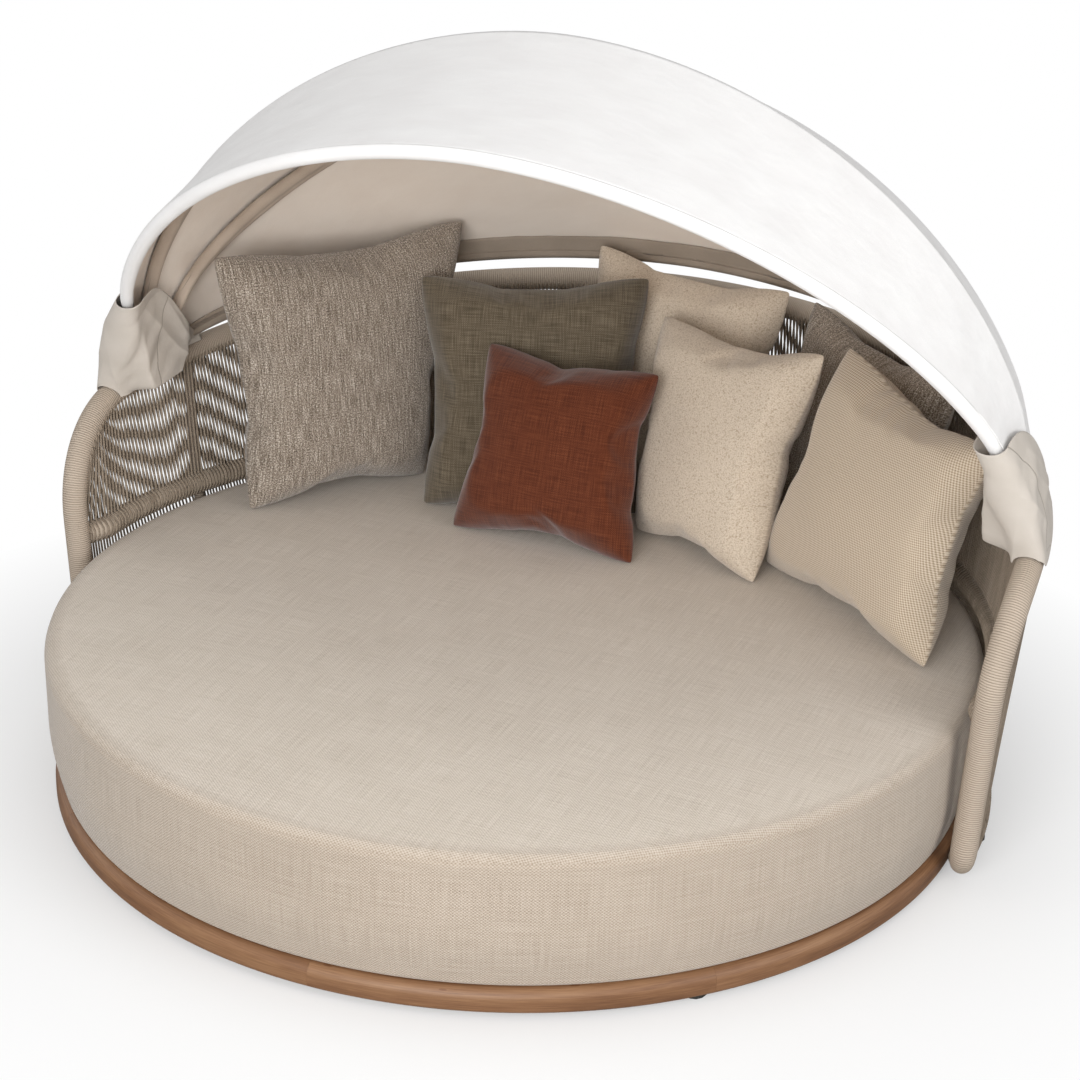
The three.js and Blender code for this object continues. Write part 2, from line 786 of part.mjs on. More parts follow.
/** A hoop's point, pushed outwards; turn runs from 0 on the right through 1 on the left. */
function hoopPoint(hoop, start, turn, outwards) {
  const reach = hoop.reachShare * hoopHalfWidth;
  const curve = hoop.curveShare;
  const lane = stackEnd - hoop.laneInset;
  const begin = Math.asin((start / reach) ** (curve / 2));
  const phase = mix(begin, Math.PI - begin, turn);
  const cosine = Math.cos(phase);
  const side = Math.sign(cosine);
  const across = hoopHalfWidth * Math.abs(cosine) ** (2 / curve);
  const distance = reach * Math.sin(phase) ** (2 / curve);
  const near = Math.max(0, (hoopLaneLength - distance) / (hoopLaneLength - hoopStart));
  const toe = (hoopWidth(hoop, hoopStart) - lane) * Math.min(1, near) ** 2;
  const normal = new THREE.Vector2(
    across ** (curve - 1) / hoopHalfWidth ** curve,
    distance ** (curve - 1) / reach ** curve,
  ).normalize();
  const x = side * (across - toe + normal.x * outwards);
  const out = distance + normal.y * outwards;
  return swung(x, out, hoop.angle);
}

/** A place at a distance from the pivot axis, at an angle up from straight back. */
function swung(x, distance, angle) {
  const a = angle * degrees;
  return new THREE.Vector3(
    x, pivotSetback + distance * Math.cos(a), pivotHeight + distance * Math.sin(a),
  );
}

function makeHoops() {
  for (const hoop of hoops) {
    const points = [];
    for (let k = 0; k <= hoopSteps; k += 1) points.push(hoopPoint(hoop, hoopStart, k / hoopSteps, 0));
    const parts = [tubeAlong(smooth(points), hoopDiameter / 2, hoopSteps, hoopSides)];
    const bossFrom = hubInnerFace + hoop.boss * bossPitch;
    const bossTo = bossFrom + bossPitch - seatGap;
    const armFrom = bossFrom + hoop.armShare * (bossTo - bossFrom - armThickness);
    const halfArm = armWidth / 2;
    for (const side of [1, -1]) {
      const arm = block(
        [side > 0 ? armFrom : -armFrom - armThickness, 0, -halfArm],
        [side > 0 ? armFrom + armThickness : -armFrom, hoopStart + armLap, halfArm],
      );
      arm.rotateX(hoop.angle * degrees).translate(0, pivotSetback, pivotHeight);
      const ends = [side * bossFrom, side * bossTo];
      parts.push(arm, barAlongX(bossRadius, ...ends, pivotSetback, pivotHeight, roundSides));
    }
    const reach = hoopHalfWidth + cutOverrun;
    const hole = barAlongX(
      boltRadius + seatGap, -reach, reach, pivotSetback, pivotHeight, roundSides,
    );
    place(hoop.name, cut(joined(...parts), hole), 'alloy');
  }
}

function makeHubs(railCut) {
  const plateFrom = stackEnd + seatGap;
  const plateTo = bracketOuter;
  for (const [name, side] of [['right', 1], ['left', -1]]) {
    const halfPlate = bracketWidth / 2;
    const plate = block(
      [side > 0 ? plateFrom : -plateTo, pivotSetback - halfPlate, pivotHeight - bracketFoot],
      [side > 0 ? plateTo : -plateFrom, pivotSetback + halfPlate, pivotHeight + bracketTop],
    );
    const bar = (radius, from, to) => {
      return barAlongX(radius, side * from, side * to, pivotSetback, pivotHeight, roundSides);
    };
    const hole = bar(boltRadius + seatGap, plateFrom - cutOverrun, plateTo + cutOverrun);
    place(`pivot_bracket_${name}`, cut(plate, railCut, hole), 'steel');
    const headFrom = plateTo + seatGap;
    const headTo = headFrom + boltHeadThickness;
    const nutTo = hubInnerFace - seatGap;
    const nutFrom = nutTo - nutThickness;
    const bolt = joined(
      bar(boltRadius, nutFrom, headTo), bar(boltHeadRadius, headFrom, headTo),
      bar(nutRadius, nutFrom, nutTo),
    );
    place(`pivot_bolt_${name}`, bolt, 'steel');
  }
}

// Canopy cloth, one panel between each two neighbouring hoops
function makePanels() {
  const names = ['canopy_panel_rear', 'canopy_panel_middle', 'canopy_panel_front'];
  names.forEach((name, k) => {
    const panel = closedSheet(clothSteps, clothRowCount, (u, v, side) => {
      const pucker = (1 + Math.cos(2 * Math.PI * clothFoldCount * u)) / 2;
      const sag = clothFold * Math.sin(Math.PI * v) * pucker;
      const outwards = clothStandoff + clothThickness * (side - 1 / 2) - sag;
      const low = hoopPoint(hoops[k], clothStart, u, outwards);
      const high = hoopPoint(hoops[k + 1], clothStart, u, outwards);
      const hem = seatGap / low.distanceTo(high);
      return low.lerp(high, mix(hem, 1 - hem, v));
    });
    place(name, panel, 'canopy');
  });
}

// Side pockets
function makePockets() {
  const widths = (distance) => hoops.map((hoop) => hoopWidth(hoop, distance));
  const railX = (setback) => framePoint(1, setback, railHeight(setback), 0).x;
  const beside = railRadius + pocketRailGap;

  /** The pocket's middle surface on the right, s from -1 at the inner back to 1 at the outer.
   *  Its rows crowd towards the hem, where the inner wall turns in under the hub. */
  const surface = (s, row) => {
    const far = Math.abs(s);
    const v = row ** pocketRowCrowding;
    const nose = mix(pocketHemNose, pocketTopNose, v);
    const y = mix(nose, pocketBack, 1 - Math.cos((far * Math.PI) / 2));
    const backShare = (y - pocketTopNose) / (pocketBack - pocketTopNose);
    const hump = Math.max(0, Math.sin((Math.PI * backShare) / pocketRimHumpShare));
    const rise = mix(pocketFrontRise, pocketBackRise, Math.max(0, backShare) ** pocketRimCurve);
    const top = pivotHeight + rise + (backShare < pocketRimHumpShare ? pocketRimHump * hump : 0);
    const lowest = railHeight(Math.max(y, pocketHemFrom)) - pocketHemDrop;
    const distance = Math.hypot(y - pivotSetback, mix(lowest, top, v) - pivotHeight);
    const hubFace = hubInnerFace - pocketHubGap;
    const innerTop = Math.min(hubFace, ...widths(distance).map((wide) => wide - pocketInnerGap));
    const fromHub = ease((Math.abs(y - pivotSetback) - pocketHubHalf) / pocketHubFade);
    const innerHem = railX(y) - beside - pocketHubTuck * (1 - fromHub);
    const tuckShare = mix(pocketRowCount ** -pocketRowCrowding, pocketSideTuckShare, fromHub);
    const inner = mix(innerHem, innerTop, ease(v / tuckShare));
    const outerTop = Math.max(...widths(distance)) + pocketOuterGap;
    const dip = pocketOuterDip * Math.sin(Math.PI * v);
    const outer = mix(railX(y) + beside, outerTop, v ** pocketOuterCurve) - dip;
    const spread = Math.sin(Math.min(1, far / pocketNoseShare) * (Math.PI / 2));
    const pleat = (1 + Math.sin(Math.PI * (3 * far + 2 * v))) / 2;
    const fold = s > 0 ? pocketFold * Math.sin(Math.PI * v) * pleat : 0;
    const x = (outer + inner) / 2 + Math.sign(s) * ((outer - inner) / 2 - fold) * spread;
    const away = x - railX(y);
    const slope = railSlope(y);
    const lift = Math.sqrt(Math.max(0, beside * beside - away * away));
    const hem = Math.max(lowest, railHeight(y) + lift * Math.sqrt(1 + slope * slope));
    return new THREE.Vector3(x, y, mix(hem, top, v));
  };
  for (const [name, side] of [['side_pocket_right', 1], ['side_pocket_left', -1]]) {
    const sheet = closedSheet(pocketSteps, pocketRowCount, (u, v, face) => {
      const s = 2 * u - 1;
      const step = 1 / pocketSteps / 8;
      const at = surface(s, v);
      const along = surface(s + step, v).sub(surface(s - step, v));
      const normal = new THREE.Vector3(along.y, -along.x, 0).normalize();
      at.addScaledVector(normal, pocketThickness * (face - 1 / 2));
      at.x *= side;
      return at;
    });
    place(name, sheet, 'canopy');
  }
}

// Pillows
/** Height of the mattress top at a distance from its centre. */
function seatHeight(top, distance) {
  for (let k = 0; k + 1 < top.length; k += 1) {
    const [from, fromHeight] = top[k];
    const [to, toHeight] = top[k + 1];
    if (distance <= to) return mix(fromHeight, toHeight, (distance - from) / (to - from));
  }
  return top[top.length - 1][1];
}

/** A stuffed cushion: crowned on both faces, thin at its edges, with drawn-in sides. */
function makePillow(pillow, top) {
  const { turn, lean, seatShare, cornerShares } = pillow;
  const side = pillow.sideShare * mattressRadius;
  const halfDepth = (pillow.depthShare * mattressRadius) / 2;
  const across = new THREE.Vector3(Math.cos(turn * degrees), Math.sin(turn * degrees), 0);
  const front = new THREE.Vector3(across.y, -across.x, 0);
  const [c, s] = [Math.cos(lean * degrees), Math.sin(lean * degrees)];
  const up = new THREE.Vector3(-front.x * s, -front.y * s, c);
  const normal = new THREE.Vector3(front.x * c, front.y * c, s);
  const seat = new THREE.Vector3(seatShare[0], seatShare[1], 0).multiplyScalar(mattressRadius);
  const geometry = closedSheet(pillowGridCount, pillowGridCount, (u, v, face) => {
    const [a, b] = [2 * u - 1, 2 * v - 1];
    const su = (1 + a * (1 - pillowDrawShare * (1 - b * b) * a * a)) / 2;
    const sv = (1 + b * (1 - pillowDrawShare * (1 - a * a) * b * b)) / 2;
    const [lowLeft, lowRight, highRight, highLeft] = cornerShares;
    const share = [0, 1].map((k) => {
      return mix(mix(lowLeft[k], lowRight[k], su), mix(highLeft[k], highRight[k], su), sv);
    });
    const crown = ((1 - Math.abs(a) ** 3) * (1 - Math.abs(b) ** 3)) ** pillowCrownShare;
    const depth = mix(pillowEdge, halfDepth, crown) * (2 * face - 1);
    return seat.clone()
      .addScaledVector(across, share[0] * side)
      .addScaledVector(up, share[1] * side)
      .addScaledVector(normal, depth);
  });
  const places = geometry.attributes.position;
  let lift = -Infinity;
  for (let k = 0; k < places.count; k += 1) {
    const distance = Math.hypot(places.getX(k), places.getY(k));
    lift = Math.max(lift, seatHeight(top, distance) + seatGap - places.getZ(k));
  }
  place(pillow.name, geometry.translate(0, 0, lift), pillow.look);
}

makeBase();
const seatTop = makeMattress();
const railSpace = makeFrame();
makeHoops();
makeHubs(railSpace);
makePanels();
makePockets();
for (const pillow of pillows) makePillow(pillow, seatTop);

export default bed;
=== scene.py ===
"""Looks of the round outdoor daybed with a folding canopy. Metres, +Z up, +Y to the back rest."""
import bmesh
import bpy
import numpy as np
from mathutils import Matrix, Vector


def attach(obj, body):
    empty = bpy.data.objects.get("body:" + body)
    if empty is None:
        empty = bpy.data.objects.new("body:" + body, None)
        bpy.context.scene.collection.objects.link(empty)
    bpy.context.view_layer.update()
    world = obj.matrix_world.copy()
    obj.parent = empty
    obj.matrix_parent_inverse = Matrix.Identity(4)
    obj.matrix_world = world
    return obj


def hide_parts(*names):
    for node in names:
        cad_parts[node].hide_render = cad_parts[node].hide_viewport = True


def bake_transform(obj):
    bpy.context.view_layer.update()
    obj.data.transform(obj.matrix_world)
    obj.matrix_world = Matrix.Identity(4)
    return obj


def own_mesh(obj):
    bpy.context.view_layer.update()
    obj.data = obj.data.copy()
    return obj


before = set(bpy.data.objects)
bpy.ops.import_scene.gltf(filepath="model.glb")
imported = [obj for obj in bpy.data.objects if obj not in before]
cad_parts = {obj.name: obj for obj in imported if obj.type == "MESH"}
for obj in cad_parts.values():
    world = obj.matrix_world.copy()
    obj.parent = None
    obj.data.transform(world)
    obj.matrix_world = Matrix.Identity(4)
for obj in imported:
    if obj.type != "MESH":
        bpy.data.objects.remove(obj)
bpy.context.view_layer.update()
PI = np.pi

# Sizes shared with the frame: radii round the bed's middle, heights above the floor, setbacks in y
BASE_RADIUS, BASE_WIDTH = 0.996, 0.070
BASE_LOW, BASE_TOP = 0.012, 0.062
MATTRESS_RADIUS = 1.003
FOOT_RADIUS, FOOT_HEIGHT, LEAN = 1.028, 0.0395, 0.0735
BOTTOM_RADIUS, BOTTOM_HEIGHT, BOTTOM_TUBE, BOTTOM_END_BACK = 1.0205, 0.034, 0.022, 0.044
MID_RADIUS, MID_HEIGHT, MID_TUBE, MID_END_BACK = 1.030, 0.369, 0.024, 0.094
RAIL_TUBE, ARM_HEIGHT, ARM_RISE = 0.0275, 0.6404, 0.134
CORNER_START, POST_BULGE, POST_FOOT_BACK = 0.154, 0.102, 0.100
CORNER_FOOT_HEIGHT, POST_OUTSET, ELBOW_RADIUS = 0.420, 0.014, 0.058
STRUT_ANGLES, STRUT_TUBE, STRUT_INSET = (-72, -36, 0, 36, 72), 0.0125, 0.006
NET_OUT, NET_IN, ROPE = 0.011, 0.0235, 0.0026
PIVOT_Y, PIVOT_Z = 0.172, 0.69745
HOOP_HALF, STACK_END, HUB_FACE = 1.0400, 1.0257, 0.9777
TOE_START, TOE_RUN, TOE_END = 0.300, 0.200, 0.100
CLOTH_START, CLOTH_OUT = 0.128, 0.0158
HOOPS = [  # reach, angle up from straight back, inset of its end, exponent of its oval, body
    (0.803, 13.0, 0.004, 1.90, "bed"),
    (0.817, 57.0, 0.032, 1.73, "lower_hoop"),
    (0.834, 91.5, 0.006, 1.90, "upper_hoop"),
    (0.836, 122.5, 0.034, 1.87, "front_hoop"),
]
HOOP_NODES = ("rear_hoop", "lower_hoop", "upper_hoop", "front_hoop")
GORES = ("canopy_panel_rear", "canopy_panel_middle", "canopy_panel_front")

# Steps along the frame's top line, and the camera that fits the photograph
LINE_STEPS = 900
CAMERA_PLACE, CAMERA_LENS = (1.8466, -4.2092, 2.5356), 78.30
YAW, PITCH, ROLL = -0.4031, 0.4116, 0.0258


# ---------------- points
def grid_of(x, y, z):
    """Points from three arrays that broadcast to one grid."""
    return np.stack(np.broadcast_arrays(x, y, z), -1)


def polar(radius, angle, z):
    """Points at a radius, at an angle from straight back in radians, and at a height."""
    return grid_of(radius * np.sin(angle), radius * np.cos(angle), z)


def bend(radius, height, size, degrees):
    """Part of a circle in a profile: centre + size x (cosine, sine)."""
    a = np.radians(degrees)
    return np.stack([radius + size * np.cos(a), height + size * np.sin(a)], 1)


def walked(points, axis=0):
    """Length walked from the start of one axis of a grid of points to each of them."""
    steps = np.cumsum(np.linalg.norm(np.diff(points, axis=axis), axis=-1), axis=axis)
    return np.concatenate([np.zeros_like(steps.take([0], axis)), steps], axis)


def unit(vectors):
    """Each vector over its own length."""
    return vectors / np.linalg.norm(vectors, axis=-1, keepdims=True)


def line_length(path):
    """The whole length of a path: the sum of its steps."""
    return float(np.linalg.norm(np.diff(path, axis=0), axis=1).sum())


def evenly(path, count):
    """The same path with its points at even distances."""
    run = walked(path)
    at = np.linspace(0, run[-1], count)
    return np.stack([np.interp(at, run, path[:, k]) for k in range(3)], 1)


def smoothstep(x):
    """A smooth step from 0 to 1: 3 x squared - 2 x cubed."""
    x = np.clip(x, 0, 1)
    return x * x * (3 - 2 * x)


def ripple(x, y, seed, waves=5):
    """Soft irregular waves between about -1 and 1: a sum of sines in seeded directions."""
    rng = np.random.default_rng(seed)
    total = 0
    for _ in range(waves):
        angle, phase, pace = rng.uniform(0, 2 * PI), rng.uniform(0, 2 * PI), rng.uniform(0.6, 1.8)
        total = total + np.sin(pace * (np.cos(angle) * x + np.sin(angle) * y) + phase)
    return total / waves ** 0.75


# ---------------- meshes
def placed(name, data):
    """A new object in the scene, at the origin."""
    thing = bpy.data.objects.new(name, data)
    bpy.context.scene.collection.objects.link(thing)
    return thing


def finished(name, points, faces, looks, uv, look_of=None):
    """A smooth mesh piece from points and faces, with its finishes and its corner UVs."""
    mesh = bpy.data.meshes.new(name)
    mesh.from_pydata(points.reshape(-1, 3).tolist(), [], faces)
    for look in looks:
        mesh.materials.append(look)
    if look_of is not None:
        mesh.polygons.foreach_set("material_index", look_of.astype(np.int32))
    layer = mesh.uv_layers.new(name="cloth")
    layer.data.foreach_set("uv", uv.astype(np.float32).ravel())
    mesh.polygons.foreach_set("use_smooth", np.ones(len(mesh.polygons), bool))
    mesh.update()
    return placed(name, mesh)


def grid_corners(rows, columns, ring=False):
    """The four corners (row, column) of each face of a grid. Where the columns close to a ring,
    the last face's far corners are one past the last column."""
    i, j = np.meshgrid(np.arange(rows - 1), np.arange(columns if ring else columns - 1),
                       indexing="ij")
    i, j = i.ravel(), j.ravel()
    return np.stack([i, i, i + 1, i + 1], 1), np.stack([j, j + 1, j + 1, j], 1)


def surface(name, points, u, v, looks, flip=False, look_of=None):
    """A grid of points as one piece, with a u and a v for each point."""
    rows, columns = points.shape[:2]
    i, j = grid_corners(rows, columns)
    if flip:
        i, j = i[:, ::-1], j[:, ::-1]
    uv = np.stack([u[i, j], v[i, j]], -1).reshape(-1, 2)
    picked = None if look_of is None else look_of[i[:, 0], j[:, 0]]
    return finished(name, points, (i * columns + j).tolist(), looks, uv, picked)


def tubes(name, paths, radius, sides, look, side_hint=(0.0, 0.0, 1.0)):
    """Round tubes with closed ends along paths (tube, step, xyz): each point is the path's
    + radius x (cosine, sine) of a turn, square to the path. UV = metres, turn, and each tube
    starts a little further along u. The radius is one number, or one for each step."""
    uv_step = 0.137
    count, steps = paths.shape[:2]
    along = unit(np.gradient(paths, axis=1))
    first = unit(np.cross(along, np.broadcast_to(side_hint, along.shape)))
    second = np.cross(along, first)
    turn = np.arange(sides) / sides * 2 * PI
    ring = first[:, :, None] * np.cos(turn)[:, None] + second[:, :, None] * np.sin(turn)[:, None]
    points = paths[:, :, None] + ring * np.broadcast_to(radius, (steps,))[None, :, None, None]
    i, j = (corner[:, ::-1] for corner in grid_corners(steps, sides, ring=True))
    number = np.arange(count)[:, None, None]
    faces = (i * sides + j % sides + number * steps * sides).reshape(-1, 4)
    u = walked(paths, 1)[:, i] + number * uv_step
    uv = np.stack([u, np.broadcast_to(j / sides, u.shape)], -1).reshape(-1, 2)
    start = number[:, 0] * steps * sides + np.arange(sides)
    end = (start + (steps - 1) * sides)[:, ::-1]
    uv = np.concatenate([uv, np.zeros((2 * count * sides, 2))])
    return finished(name, points, faces.tolist() + start.tolist() + end.tolist(), [look], uv)


def outward_faces(piece, weld=False):
    """Turns the faces of a closed piece outwards; weld joins points in one place first."""
    work = bmesh.new()
    work.from_mesh(piece.data)
    if weld:
        bmesh.ops.remove_doubles(work, verts=work.verts, dist=1e-6)
    bmesh.ops.recalc_face_normals(work, faces=work.faces)
    work.to_mesh(piece.data)
    work.free()


def thickened(piece, thickness, inner=0):
    """Gives a sheet its thickness; inner is the slot step to the finish of its inner side."""
    wall = piece.modifiers.new("thickness", "SOLIDIFY")
    wall.thickness = thickness
    wall.offset = 0.0
    wall.use_even_offset = False
    wall.material_offset = inner
    wall.material_offset_rim = 0


# ---------------- finishes
class Nodes:
    """A node tree, with short calls that add its nodes."""

    def __init__(self, tree):
        self.tree = tree

    def feed(self, socket, value):
        """Links an output to a socket, or sets the socket to a value."""
        if isinstance(value, bpy.types.NodeSocket):
            self.tree.links.new(value, socket)
        elif value is not None:
            socket.default_value = value

    def node(self, kind, *values, **settings):
        """A node with its settings, its first inputs fed with the values."""
        node = self.tree.nodes.new(kind)
        for key, setting in settings.items():
            setattr(node, key, setting)
        for socket, value in zip(node.inputs, values):
            self.feed(socket, value)
        return node

    def math(self, operation, *values):
        return self.node("ShaderNodeMath", *values, operation=operation).outputs[0]

    def add(self, first, second):
        return self.math("ADD", first, second)

    def times(self, first, second):
        return self.math("MULTIPLY", first, second)

    def weighted(self, *terms):
        """The sum of values, each times its weight."""
        total = 0.0
        for value, weight in terms:
            total = self.math("MULTIPLY_ADD", value, weight, total)
        return total

    def distance(self, x, y):
        """How far (x, y) lies from the origin."""
        return self.math("SQRT", self.add(self.times(x, x), self.times(y, y)))

    def between(self, value, start, end):
        """A share that goes from 0 at start to 1 at end."""
        return self.node("ShaderNodeMapRange", value, start, end).outputs[0]

    def mixed_light(self, share, first, second):
        return self.node("ShaderNodeMixShader", share, first, second).outputs[0]


class Finish(Nodes):
    """One procedural finish."""

    def __init__(self, name, roughness=0.9, metallic=0.0, sheen=0.0, specular=0.3):
        self.material = bpy.data.materials.new(name)
        self.material.use_nodes = True
        super().__init__(self.material.node_tree)
        self.shader = self.tree.nodes["Principled BSDF"]
        self.shader.inputs["Roughness"].default_value = roughness
        self.shader.inputs["Metallic"].default_value = metallic
        self.shader.inputs["Specular IOR Level"].default_value = specular
        if sheen:
            self.shader.inputs["Sheen Weight"].default_value = sheen
            self.shader.inputs["Sheen Roughness"].default_value = 0.5

    def uv(self):
        return self.node("ShaderNodeUVMap", uv_map="cloth").outputs[0]

    def place(self):
        return self.node("ShaderNodeTexCoord").outputs["Object"]

    def moved(self, vector, scale=(1, 1, 1), turn=(0, 0, 0), shift=(0, 0, 0)):
        return self.node("ShaderNodeMapping", vector, shift, turn, scale).outputs[0]

    def parts(self, vector):
        """The x and y of a vector, or the u and v of a UV."""
        return self.node("ShaderNodeSeparateXYZ", vector).outputs[:2]

    def noise(self, vector, scale, detail=2.0, rough=0.5, output="Fac"):
        node = self.node("ShaderNodeTexNoise")
        for socket, value in (("Vector", vector), ("Scale", scale), ("Detail", detail),
                              ("Roughness", rough)):
            self.feed(node.inputs[socket], value)
        return node.outputs[output]

    def cells(self, vector, scale):
        """Distance from the nearest of many scattered points."""
        node = self.node("ShaderNodeTexVoronoi", feature="F1")
        self.feed(node.inputs["Vector"], vector)
        self.feed(node.inputs["Scale"], scale)
        return node.outputs["Distance"]

    def ramp(self, value, *stops):
        """Colours along a value: stops are (place, sRGB 0 to 255)."""
        node = self.node("ShaderNodeValToRGB", value)
        band = node.color_ramp
        while len(band.elements) < len(stops):
            band.elements.new(0.5)
        for element, (place, colour) in zip(band.elements, stops):
            element.position = place
            element.color = linear(colour)
        return node.outputs[0]

    def blend(self, share, first, second, kind="MIX"):
        """Two colours, mixed or multiplied by a share."""
        node = self.node("ShaderNodeMix", share, data_type="RGBA", blend_type=kind)
        for socket, value in ((node.inputs[6], first), (node.inputs[7], second)):
            self.feed(socket, linear(value) if isinstance(value, tuple) else value)
        return node.outputs[2]

    def bump(self, height, distance, strength=1.0):
        node = self.node("ShaderNodeBump")
        for socket, value in (("Strength", strength), ("Distance", distance), ("Height", height)):
            self.feed(node.inputs[socket], value)
        return node.outputs[0]

    def done(self, colour, normal=None):
        self.feed(self.shader.inputs["Base Color"], colour)
        self.feed(self.shader.inputs["Normal"], normal)
        return self.material


def linear(colour):
    """The linear colour of sRGB numbers from 0 to 255."""
    c = np.asarray(colour, float) / 255
    c = np.where(c <= 0.04045, c / 12.92, ((c + 0.055) / 1.055) ** 2.4)
    return (*c.tolist(), 1.0)


def threads(f, vector, pitch_u, pitch_v):
    """Woven dots: the product of a wave across and a wave along, from 0 to 1."""
    u, v = f.parts(vector)
    across = f.math("SINE", f.times(u, 2 * PI / pitch_u))
    along = f.math("SINE", f.times(v, 2 * PI / pitch_v))
    return f.math("MULTIPLY_ADD", f.times(across, along), 0.5, 0.5)


def slubs(f, uv, fine, coarse):
    """Thick places in the yarn, along v and along u."""
    return (f.noise(f.moved(uv, (fine, coarse, 1)), 1.0, 1.0),
            f.noise(f.moved(uv, (coarse, fine, 1)), 1.0, 1.0))


def wrapped_rope(name, pitch, low, high):
    """Rope wound round a tube: one ridge for each turn, painted shade between the turns, fibres."""
    f = Finish(name, 0.92, specular=0.25)
    u, v = f.parts(f.uv())
    phase = f.math("FRACT", f.add(f.math("DIVIDE", u, pitch), v))
    ridge = f.math("SINE", f.times(phase, PI))
    fibre = f.noise(f.moved(f.uv(), (900, 60, 1)), 1.0, 2.0)
    cloudy = f.noise(f.place(), 9.0, 2.0)
    # Painted shade: the ramp's dark end falls in the grooves between the turns; fibre and cloudy
    # are the rope's own tone.
    tone = f.weighted((f.math("POWER", ridge, 0.55), 0.8), (fibre, 0.18), (cloudy, 0.18))
    middle = tuple(0.6 * a + 0.4 * b for a, b in zip(high, low))
    colour = f.ramp(tone, (0.0, low), (0.45, middle), (1.0, high))
    return f.done(colour, f.bump(f.math("MULTIPLY_ADD", fibre, 0.25, ridge), 0.0016, 0.9))


def rope_strand(name, low, high):
    """Loose rope of the nets: a twist that shows as a fine grain, and a soft uneven tone."""
    f = Finish(name, 0.92, specular=0.25)
    u, v = f.parts(f.uv())
    twist = f.math("SINE", f.math("MULTIPLY_ADD", u, 2 * PI / 0.006, f.times(v, 4 * PI)))
    grain = f.noise(f.place(), 420.0, 2.0)
    patch = f.noise(f.moved(f.place(), (1, 1, 0.15)), 38.0, 1.0)
    tone = f.weighted((grain, 0.55), (patch, 0.45))
    return f.done(f.ramp(tone, (0.28, low), (0.72, high)), f.bump(f.add(twist, grain), 0.0006, 0.6))


def teak_finish():
    """Oiled teak: grain along the bent segments, darker streaks, a few small knots."""
    f = Finish("oiled_teak", 0.5, specular=0.4)
    uv = f.uv()
    cloudy = f.noise(f.moved(uv, (3.0, 14.0, 1)), 1.0, 2.0)
    grain = f.noise(f.moved(uv, (14.0, 420.0, 1)), 1.0, 4.0, 0.6)
    streak = f.noise(f.moved(uv, (2.2, 45.0, 1)), 1.0, 2.0)
    tone = f.weighted((grain, 0.45), (streak, 0.35), (cloudy, 0.25))
    colour = f.ramp(tone, (0.33, (84, 54, 34)), (0.5, (118, 83, 56)), (0.68, (143, 108, 77)))
    knot = f.math("LESS_THAN", f.cells(f.moved(uv, (5.5, 22.0, 1)), 1.0), 0.055)
    colour = f.blend(f.times(knot, 0.6), colour, (92, 54, 30))
    return f.done(colour, f.bump(grain, 0.0004, 0.5))


def mattress_finish():
    """Basket weave of flat yarn, in rows both ways, with slubs and soft patches. The top's UV
    starts at (10, 10), and from the top's edge down the side is painted darker: painted shade."""
    f = Finish("mattress_weave", 0.95, sheen=0.25, specular=0.2)
    uv = f.uv()
    fine = f.noise(uv, 700.0, 1.0)
    drift = f.noise(uv, 90.0, output="Color")
    wander = f.node("ShaderNodeVectorMath", drift, (0.0022,) * 3, uv, operation="MULTIPLY_ADD")
    dots = threads(f, wander.outputs[0], 0.0074, 0.0062)
    slub_v, slub_u = slubs(f, uv, 320.0, 9.0)
    patch = f.noise(uv, 5.0, 2.0)
    tone = f.weighted((dots, 0.42), (fine, 0.30), (slub_v, 0.22), (slub_u, 0.22), (patch, 0.08))
    colour = f.ramp(tone, (0.22, (130, 116, 99)), (0.42, (178, 165, 149)),
                    (0.60, (203, 191, 177)), (0.85, (228, 219, 208)))
    away = f.distance(*f.parts(f.moved(uv, shift=(-10, -10, 0))))
    # Painted shade: below the top's edge the side is multiplied darker than the top.
    colour = f.blend(f.between(away, 0.962, 1.008), colour, (213, 208, 203), "MULTIPLY")
    return f.done(colour, f.bump(f.add(dots, fine), 0.0013, 0.6))


def canopy_finish(name, low, high, creases=7.0, strength=0.5, seams=()):
    """Smooth outdoor cloth: a very fine weave and faint soft creases, whose hollows are painted a
    shade darker: painted shade. A stitched seam is a thin darker line, u = start + slope x v."""
    f = Finish(name, 0.85, sheen=0.1, specular=0.2)
    fine = f.noise(f.place(), 900.0, 1.0)
    crease = f.noise(f.moved(f.place(), (1.0, 2.2, 2.2)), creases, 3.0, 0.45)
    # Painted shade: the crease noise that dents the cloth also darkens it in the hollows.
    colour = f.ramp(f.weighted((fine, 0.35), (crease, 0.65)), (0.3, low), (0.7, high))
    height = f.math("MULTIPLY_ADD", crease, 9.0, fine)
    for start, slope in seams:
        u, v = f.parts(f.uv())
        away = f.math("ABSOLUTE", f.math("SUBTRACT", u, f.math("MULTIPLY_ADD", v, slope, start)))
        line = f.between(away, 0.0028, 0.0)
        colour = f.blend(f.times(line, 0.7), colour, (128, 117, 105))
        height = f.math("MULTIPLY_ADD", line, -3.0, height)
    return f.done(colour, f.bump(height, 0.0006, strength))


